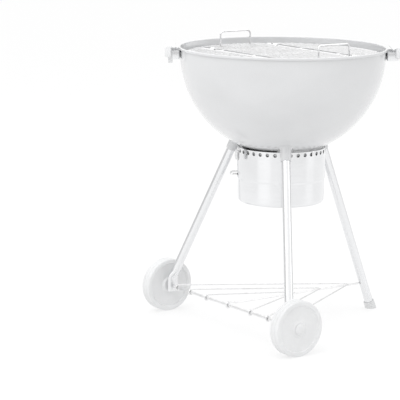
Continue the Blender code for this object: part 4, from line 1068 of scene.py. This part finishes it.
def build_cooking_grate():
    """Round-wire centre section, two hinged flaps and two upright lifting handles."""
    place = CENTRED
    corner = math.degrees(math.asin(HINGE_Y / GRATE_R))
    shape = Shape()
    path = [Vector(p) for p in grate_arc(-corner, corner, 40) + grate_arc(180.0 - corner, 180.0 + corner, 40)]
    smooth = []
    for index, point in enumerate(path):
        before = path[index - 1]
        after = path[(index + 1) % len(path)]
        if (point - before).length > 0.1 or (after - point).length > 0.1:
            back = point + (before - point).normalized() * 0.0030
            ahead = point + (after - point).normalized() * 0.0030
            smooth += [back, back.lerp(point, 0.6).lerp(ahead, 0.2), ahead.lerp(point, 0.6).lerp(back, 0.2),
                       ahead]
        else:
            smooth.append(point)
    wire(shape, smooth, FRAME_R, 20, cyclic=True, place=place)
    for x in CENTRE_CROSSES:
        wire(shape, [(x, -HINGE_Y, FRAME_Z), (x, HINGE_Y, FRAME_Z)], 0.0029, 16, place=place, ends="flat")
    levels = [BAR_PITCH * (step - 6) for step in range(13)]
    grate_bars(shape, levels, place)
    welds(shape, levels, CENTRE_CROSSES, place)
    add_piece("grate_middle_wires", shape.mesh("grate_middle_wires"), "grate", ["grate_centre"],
              "plated_steel", 50.0)

    edge = HINGE_Y + FLAP_SETBACK
    rod_r = FRAME_R - 0.0002
    trim = math.degrees(math.asin(edge / GRATE_R))
    for name, sign in (("front", 1.0), ("rear", -1.0)):
        mirror = place @ Matrix.Diagonal((1.0, sign, 1.0, 1.0))
        shape = Shape()
        corner_x = GRATE_R * math.cos(math.radians(trim))
        path = [(corner_x - 0.0030, edge, FRAME_Z), (corner_x - 0.0008, edge + 0.0006, FRAME_Z),
                (corner_x, edge + 0.0020, FRAME_Z)]
        path += grate_arc(trim + 1.6, 180.0 - trim - 1.6, 56)
        path += [(-corner_x, edge + 0.0020, FRAME_Z), (-corner_x + 0.0008, edge + 0.0006, FRAME_Z),
                 (-corner_x + 0.0030, edge, FRAME_Z)]
        wire(shape, path, rod_r, 20, cyclic=True, place=mirror)
        levels = [edge + BAR_PITCH * (step + 1) for step in range(8)]
        grate_bars(shape, levels, mirror)
        for x in FLAP_CROSSES:
            far = math.sqrt(GRATE_R * GRATE_R - x * x)
            wire(shape, [(x, edge, FRAME_Z), (x, far, FRAME_Z)], 0.0027, 16, place=mirror, ends="flat")
        for x in HINGE_EYES:
            spot = mirror @ Matrix.Translation((x, HINGE_Y, FRAME_Z)) @ FACE_OUT
            bore_r = FRAME_R + 0.0009
            outer_r = FLAP_SETBACK - rod_r + 0.0012
            knuckle = []
            for turn in range(3):
                z = -0.009 + 0.006 * turn
                knuckle += [(outer_r - 0.0007, z + 0.0003), (outer_r, z + 0.0016), (outer_r, z + 0.0044),
                            (outer_r - 0.0007, z + 0.0057)]
            knuckle = rounded(knuckle + [(bore_r, 0.009), (bore_r, -0.009)], 0.0006, 3)
            lathe(shape, knuckle, 40, spot)
        welds(shape, levels, FLAP_CROSSES, mirror)
        mesh = shape.mesh("flap_wires_" + name)
        add_piece("flap_wires_" + name, mesh, name + "_flap", ["flap_" + name], "plated_steel", 50.0)

    rod = 0.0025
    leg_y = 3 * BAR_PITCH + BAR_R + rod + GAP
    x_lift = (lift_low.x + lift_high.x) / 2
    top = lift_high.z - rod
    for number, sign in ((1, -1.0), (2, 1.0)):
        x = sign * x_lift
        corners = [(x, -leg_y, BAR_Z - 0.001), (x, -leg_y, top), (x, leg_y, top), (x, leg_y, BAR_Z - 0.001)]
        shape = Shape()
        wire(shape, filleted(corners, 0.010, 10), rod, 20, place=place)
        add_piece("lift_wire_%d" % number, shape.mesh("lift_wire"), "grate", ["grate_handle_%d" % number],
                  "plated_steel", 50.0)


def build_bowl_fittings():
    """Four folded shelves welded inside the bowl and the loose charcoal grate of plain rod."""
    shelf_top = FRAME_Z - FRAME_R - GAP
    wall = math.sqrt(BOWL_IN_R ** 2 - (BOWL_CZ - shelf_top) ** 2)
    low = shelf_top - 0.022
    half = 0.0010
    tip = BOWL_IN_R - BOWL_R * 0.0063 - 0.020
    back = [(tip, shelf_top - half), (wall - 0.0016, shelf_top - half)]
    for step in range(1, 7):
        z = shelf_top - half - (shelf_top - half - low) * step / 6
        back.append((math.sqrt(BOWL_IN_R ** 2 - (BOWL_CZ - z) ** 2) - 0.0014, z))
    path = rounded(back, [0.0, 0.0018] + [0.0] * 6, 5, closed=False)
    for number in range(4):
        name = "shelf_fold_%d" % (number + 1)
        strip = folded_strip(path, 0.0020, 0.011, around(90.0 * number), 0.0005, name)
        spots = Shape()
        for side in (-0.006, 0.006):
            z = shelf_top - 0.012
            reach = math.sqrt(BOWL_IN_R ** 2 - (BOWL_CZ - z) ** 2) - 0.0025
            tilt = Matrix.Rotation(-math.pi / 2 + math.asin((BOWL_CZ - z) / BOWL_IN_R), 4, "Y")
            spot = around(90.0 * number) @ Matrix.Translation((reach, side, z)) @ tilt
            lathe(spots, [(0.0024, -0.0003), (0.0019, 0.0004), (0.0010, 0.0003), (0.0, 0.0002)], 20, spot,
                  closed=False)
        shelf = joined(name, [strip, spots.mesh("spots")])
        add_piece(name, shelf, "stand", ["grate_shelf_%d" % (number + 1)], "plated_steel")

    place = CENTRED
    height = fuel_low.z + 0.0035
    shape = Shape()
    ring = [(x, y, height) for x, y in arc((0.0, 0.0), FUEL_R, 0.0, 360.0, 120)][:-1]
    wire(shape, ring, 0.0035, 20, cyclic=True, place=place)
    for step in range(15):
        level = 0.0260 * (step - 7)
        reach = math.sqrt(FUEL_R * FUEL_R - level * level)
        wire(shape, [(level, y, height + 0.0045) for y in rod_stops(reach)], 0.0030, 16, place=place)
    for level in (-0.090, 0.090):
        reach = math.sqrt(FUEL_R * FUEL_R - level * level)
        wire(shape, [(-reach, level, height), (reach, level, height)], 0.0032, 16, place=place, ends="flat")
    add_piece("fuel_rods", shape.mesh("fuel_rods"), "stand", ["charcoal_grate"], "fuel_steel", 50.0)


# ---------------------------------------------------------------- handles and rack
def build_bowl_handles():
    """Two folded brackets, their moulded grips and domed cross-slotted bolts."""
    back_in = BOWL_R + GAP
    low_z = RIM_Z - 0.033
    high_z = RIM_Z - 0.0085
    bolt_z = RIM_Z - 0.0215
    grip_low = RIM_Z - 0.026
    grip_high = RIM_Z + 0.007
    section = [
        (GRIP_IN_R, grip_low), (GRIP_OUT_R, grip_low), (GRIP_OUT_R, grip_high - 0.003),
        (GRIP_OUT_R - 0.010, grip_high), (GRIP_IN_R - 0.002, grip_high - 0.001),
        (GRIP_IN_R - 0.010, grip_high - 0.0055), (GRIP_IN_R - 0.009, grip_high - 0.009),
        (GRIP_IN_R, grip_high - 0.006)]
    radii = [0.0040, 0.0070, 0.0060, 0.0060, 0.0040, 0.0014, 0.0014, 0.0030]
    arm = 0.045
    sheet = 0.0025
    for number, angle in enumerate(HANDLE_ANGLES, 1):
        turn = around(angle)
        plan = rounded([(GRIP_IN_R + 0.008, -arm + sheet / 2), (back_in + 0.00125, -arm + sheet / 2),
                        (back_in + 0.00125, arm - sheet / 2), (GRIP_IN_R + 0.008, arm - sheet / 2)],
                       (0.0, 0.0022, 0.0022, 0.0), 6, closed=False)
        middle = Matrix.Translation((0.0, 0.0, (low_z + high_z) / 2))
        lay = turn @ middle @ Matrix.Rotation(math.pi / 2, 4, "X")
        band = folded_strip(plan, 0.0022, (high_z - low_z) / 2 - 0.0004, lay, 0.0005, "bracket")
        drills = Shape()
        for y in BOLT_YS:
            wire(drills, [(back_in - 0.01, y, bolt_z), (back_in + 0.01, y, bolt_z)], 0.0026 + GAP, 24,
                 place=turn, ends="flat")
        band = bore(band, drills.mesh("drills"))
        band.name = "bracket_fold_%d" % number
        add_piece(band.name, band, "stand", ["handle_bracket_%d" % number], "leg_tube")

        body = solid_prism(rounded(section, radii, 6), 0.060, turn, 0.0028, 5, "grip")
        slots = []
        for side in (-1.0, 1.0):
            near = min(side * arm, side * (arm - sheet)) - GAP
            low = Vector((GRIP_IN_R - 0.004, near, low_z - 0.01))
            high = Vector((GRIP_IN_R + 0.0083, near + sheet + 2 * GAP, high_z + GAP))
            size = Matrix.Diagonal((*(high - low), 1.0))
            slots.append(block("slot", turn @ Matrix.Translation((low + high) / 2) @ size))
        body = bore(body, joined("slots", slots))
        body.name = "grip_moulding_%d" % number
        add_piece(body.name, body, "stand", ["handle_grip_%d" % number], "grip_plastic", 40.0)

        for mark, y in zip("ab", BOLT_YS):
            face = back_in + 0.002 + GAP
            place = turn @ Matrix.Translation((face, y, bolt_z)) @ FACE_OUT
            shape = Shape()
            dome = [(0.0026, -0.0019), (0.0026, 0.0), (0.0045, 0.0), (0.0048, 0.0003)]
            dome += [(0.0048 * math.cos(t), 0.0004 + 0.0027 * math.sin(t)) for t in
                     [math.pi / 2 * step / 9 for step in range(1, 10)]]
            lathe(shape, [(0.0, -0.0019)] + dome, 36, place, closed=False)
            head = shape.mesh("bolt")
            size = Matrix.Diagonal((0.0054, 0.0010, 0.0040, 1.0))
            for angle_in in (0.0, 90.0):
                spot = place @ spun(angle_in) @ Matrix.Translation((0.0, 0.0, 0.0038))
                head = bore(head, block("bar", spot @ size))
            name = "bolt_dome_%d%s" % (number, mark)
            head.name = name
            add_piece(name, head, "stand", ["handle_bolt_%d%s" % (number, mark)], "plated_steel")


def hook(x, height, radius):
    """Path over the axle and round behind it, starting underneath."""
    reach = AXLE_R + radius + 0.0004
    points = [(x, AXLE_Y + y, AXLE_Z + z) for y, z in arc((0.0, 0.0), reach, 300.0, 90.0, 22)]
    points.append((x, AXLE_Y + 0.006, height))
    return points


def build_rack():
    """Wire rack: a spine from the axle to the plain leg and three nested V wires hooked on the axle."""
    rod = RACK_ROD_R
    wire_z = AXLE_Z + AXLE_R + rod + 0.0004
    spine_top = AXLE_Z + AXLE_R + SPINE_R + 0.0004
    spine_z, spine_end = spine_layout()
    place = CENTRED
    shape = Shape()
    path = hook(0.0, spine_top, SPINE_R)
    path += [(0.0, AXLE_Y + 0.016, spine_top - 0.0014), (0.0, AXLE_Y + 0.026, spine_z),
             (0.0, spine_end - TUBE_WALL, spine_z)]
    wire(shape, path, SPINE_R, 20, place=place)
    for foot, share in zip((0.252, 0.185, 0.105), (0.7503, 0.4455, 0.1846)):
        apex = FOOT_Y * share
        left = hook(-foot, wire_z, rod)
        right = hook(foot, wire_z, rod)
        bend = filleted([left[-1], (0.0, apex + 0.003, wire_z), right[-1]], 0.009, 10)
        wire(shape, left + bend[1:-1] + right[::-1], rod, 20, place=place)
    add_piece("rack_wires", shape.mesh("rack_wires"), "stand", ["bottom_rack"], "plated_steel", 50.0)


# ---------------------------------------------------------------- stage, lights and camera
def paint_sky(tree):
    """Soft sky: dim at the horizon, bright overhead, with two broad upright panels of light."""
    def node(kind, operation=None, **inputs):
        made = tree.nodes.new(kind)
        if operation:
            made.operation = operation
        for key, value in inputs.items():
            made.inputs[key.replace("_", " ")].default_value = value
        return made

    way = node("ShaderNodeTexCoord").outputs["Generated"]
    parts = node("ShaderNodeSeparateXYZ")
    tree.links.new(way, parts.inputs[0])
    rise = node("ShaderNodeMapRange", From_Min=0.02, From_Max=0.62, To_Min=HORIZON_LIGHT, To_Max=ZENITH_LIGHT)
    rise.interpolation_type = "SMOOTHSTEP"
    tree.links.new(parts.outputs["Z"], rise.inputs["Value"])
    light = rise.outputs["Result"]
    for azimuth, half, strength in PANELS:
        turn = math.radians(azimuth)
        dot = node("ShaderNodeVectorMath", "DOT_PRODUCT")
        flat = node("ShaderNodeVectorMath", "MULTIPLY")
        flat.inputs[1].default_value = (1.0, 1.0, 0.0)
        unit = node("ShaderNodeVectorMath", "NORMALIZE")
        tree.links.new(way, flat.inputs[0])
        tree.links.new(flat.outputs["Vector"], unit.inputs[0])
        tree.links.new(unit.outputs["Vector"], dot.inputs[0])
        dot.inputs[1].default_value = (math.sin(turn), -math.cos(turn), 0.0)
        edge = node("ShaderNodeMapRange", From_Min=math.cos(math.radians(half * 1.25)),
                    From_Max=math.cos(math.radians(half * 0.75)), To_Min=0.0, To_Max=strength)
        edge.interpolation_type = "SMOOTHSTEP"
        tree.links.new(dot.outputs["Value"], edge.inputs["Value"])
        fade = node("ShaderNodeMapRange", From_Min=0.35, From_Max=0.65, To_Min=1.0, To_Max=0.0)
        fade.interpolation_type = "SMOOTHSTEP"
        tree.links.new(parts.outputs["Z"], fade.inputs["Value"])
        share = node("ShaderNodeMath", "MULTIPLY")
        tree.links.new(edge.outputs["Result"], share.inputs[0])
        tree.links.new(fade.outputs["Result"], share.inputs[1])
        total = node("ShaderNodeMath", "ADD")
        tree.links.new(light, total.inputs[0])
        tree.links.new(share.outputs["Value"], total.inputs[1])
        light = total.outputs["Value"]
    tree.nodes["Background"].inputs["Color"].default_value = (1.0, 1.0, 1.0, 1.0)
    tree.links.new(light, tree.nodes["Background"].inputs["Strength"])


def build_stage():
    """Pale seamless floor, a soft sky of panels and large softboxes."""
    bm = bmesh.new()
    bmesh.ops.create_grid(bm, x_segments=8, y_segments=8, size=45.0)
    mesh = as_mesh("stage_floor", bm)
    floor = linked("stage_floor", mesh)
    look = Surface("stage_paper", (0.36, 0.36, 0.36), 0.9, Emission_Color=(1.0, 1.0, 1.0, 1.0),
                   Emission_Strength=0.60)
    look.shader.inputs["Specular IOR Level"].default_value = 0.0
    mesh.materials.append(look.material)

    world = bpy.data.worlds.new("studio")
    world.use_nodes = True
    paint_sky(world.node_tree)
    bpy.context.scene.world = world
    aim = Vector((0.0, AXIS_Y, 0.45))
    for name, azimuth, elevation, distance, width, height, power in SOFTBOXES:
        data = bpy.data.lights.new(name, "AREA")
        data.shape = "RECTANGLE"
        data.size = width
        data.size_y = height
        data.energy = power
        lamp = linked(name, data)
        turn = math.radians(azimuth)
        rise = math.radians(elevation)
        way = Vector((math.sin(turn) * math.cos(rise), -math.cos(turn) * math.cos(rise), math.sin(rise)))
        lamp.location = aim + way * distance
        lamp.rotation_euler = way.to_track_quat("Z", "Y").to_euler()
        lamp.visible_camera = False


def build_camera():
    """Long lens a little above the rim, level but for a slight roll."""
    data = bpy.data.cameras.new("camera")
    data.lens = 172.1
    data.sensor_width = 36.0
    data.clip_end = 200.0
    camera = linked("camera", data)
    forward = Vector(CAMERA_WAY).normalized()
    right = forward.cross(Vector((0.0, 0.0, 1.0))).normalized()
    up = right.cross(forward)
    roll = math.radians(CAMERA_ROLL)
    across = right * math.cos(roll) + up * math.sin(roll)
    rise = up * math.cos(roll) - right * math.sin(roll)
    turn = Matrix((across, rise, -forward)).transposed().to_4x4()
    camera.matrix_world = Matrix.Translation(CAMERA_PLACE) @ turn
    bpy.context.scene.camera = camera
    bpy.context.scene.view_settings.view_transform = "Standard"


HORIZON_LIGHT = 0.60
ZENITH_LIGHT = 1.10
PANELS = (
    (8.0, 17.0, 0.90),
    (135.0, 11.0, 0.90),
    (250.0, 25.0, 0.35),
)
SOFTBOXES = (
    ("key_softbox", 20.0, 55.0, 3.2, 2.0, 2.0, 22.0),
    ("top_softbox", 200.0, 75.0, 3.0, 2.6, 2.6, 18.0),
)
CAMERA_PLACE = (4.220, -3.242, 1.3413)
CAMERA_WAY = (-0.8069, 0.5617, -0.1830)
CAMERA_ROLL = 0.494

build_bowl()
build_legs()
build_running_gear()
build_bucket()
build_damper()
build_cooking_grate()
build_bowl_fittings()
build_bowl_handles()
build_rack()
build_stage()
build_camera()
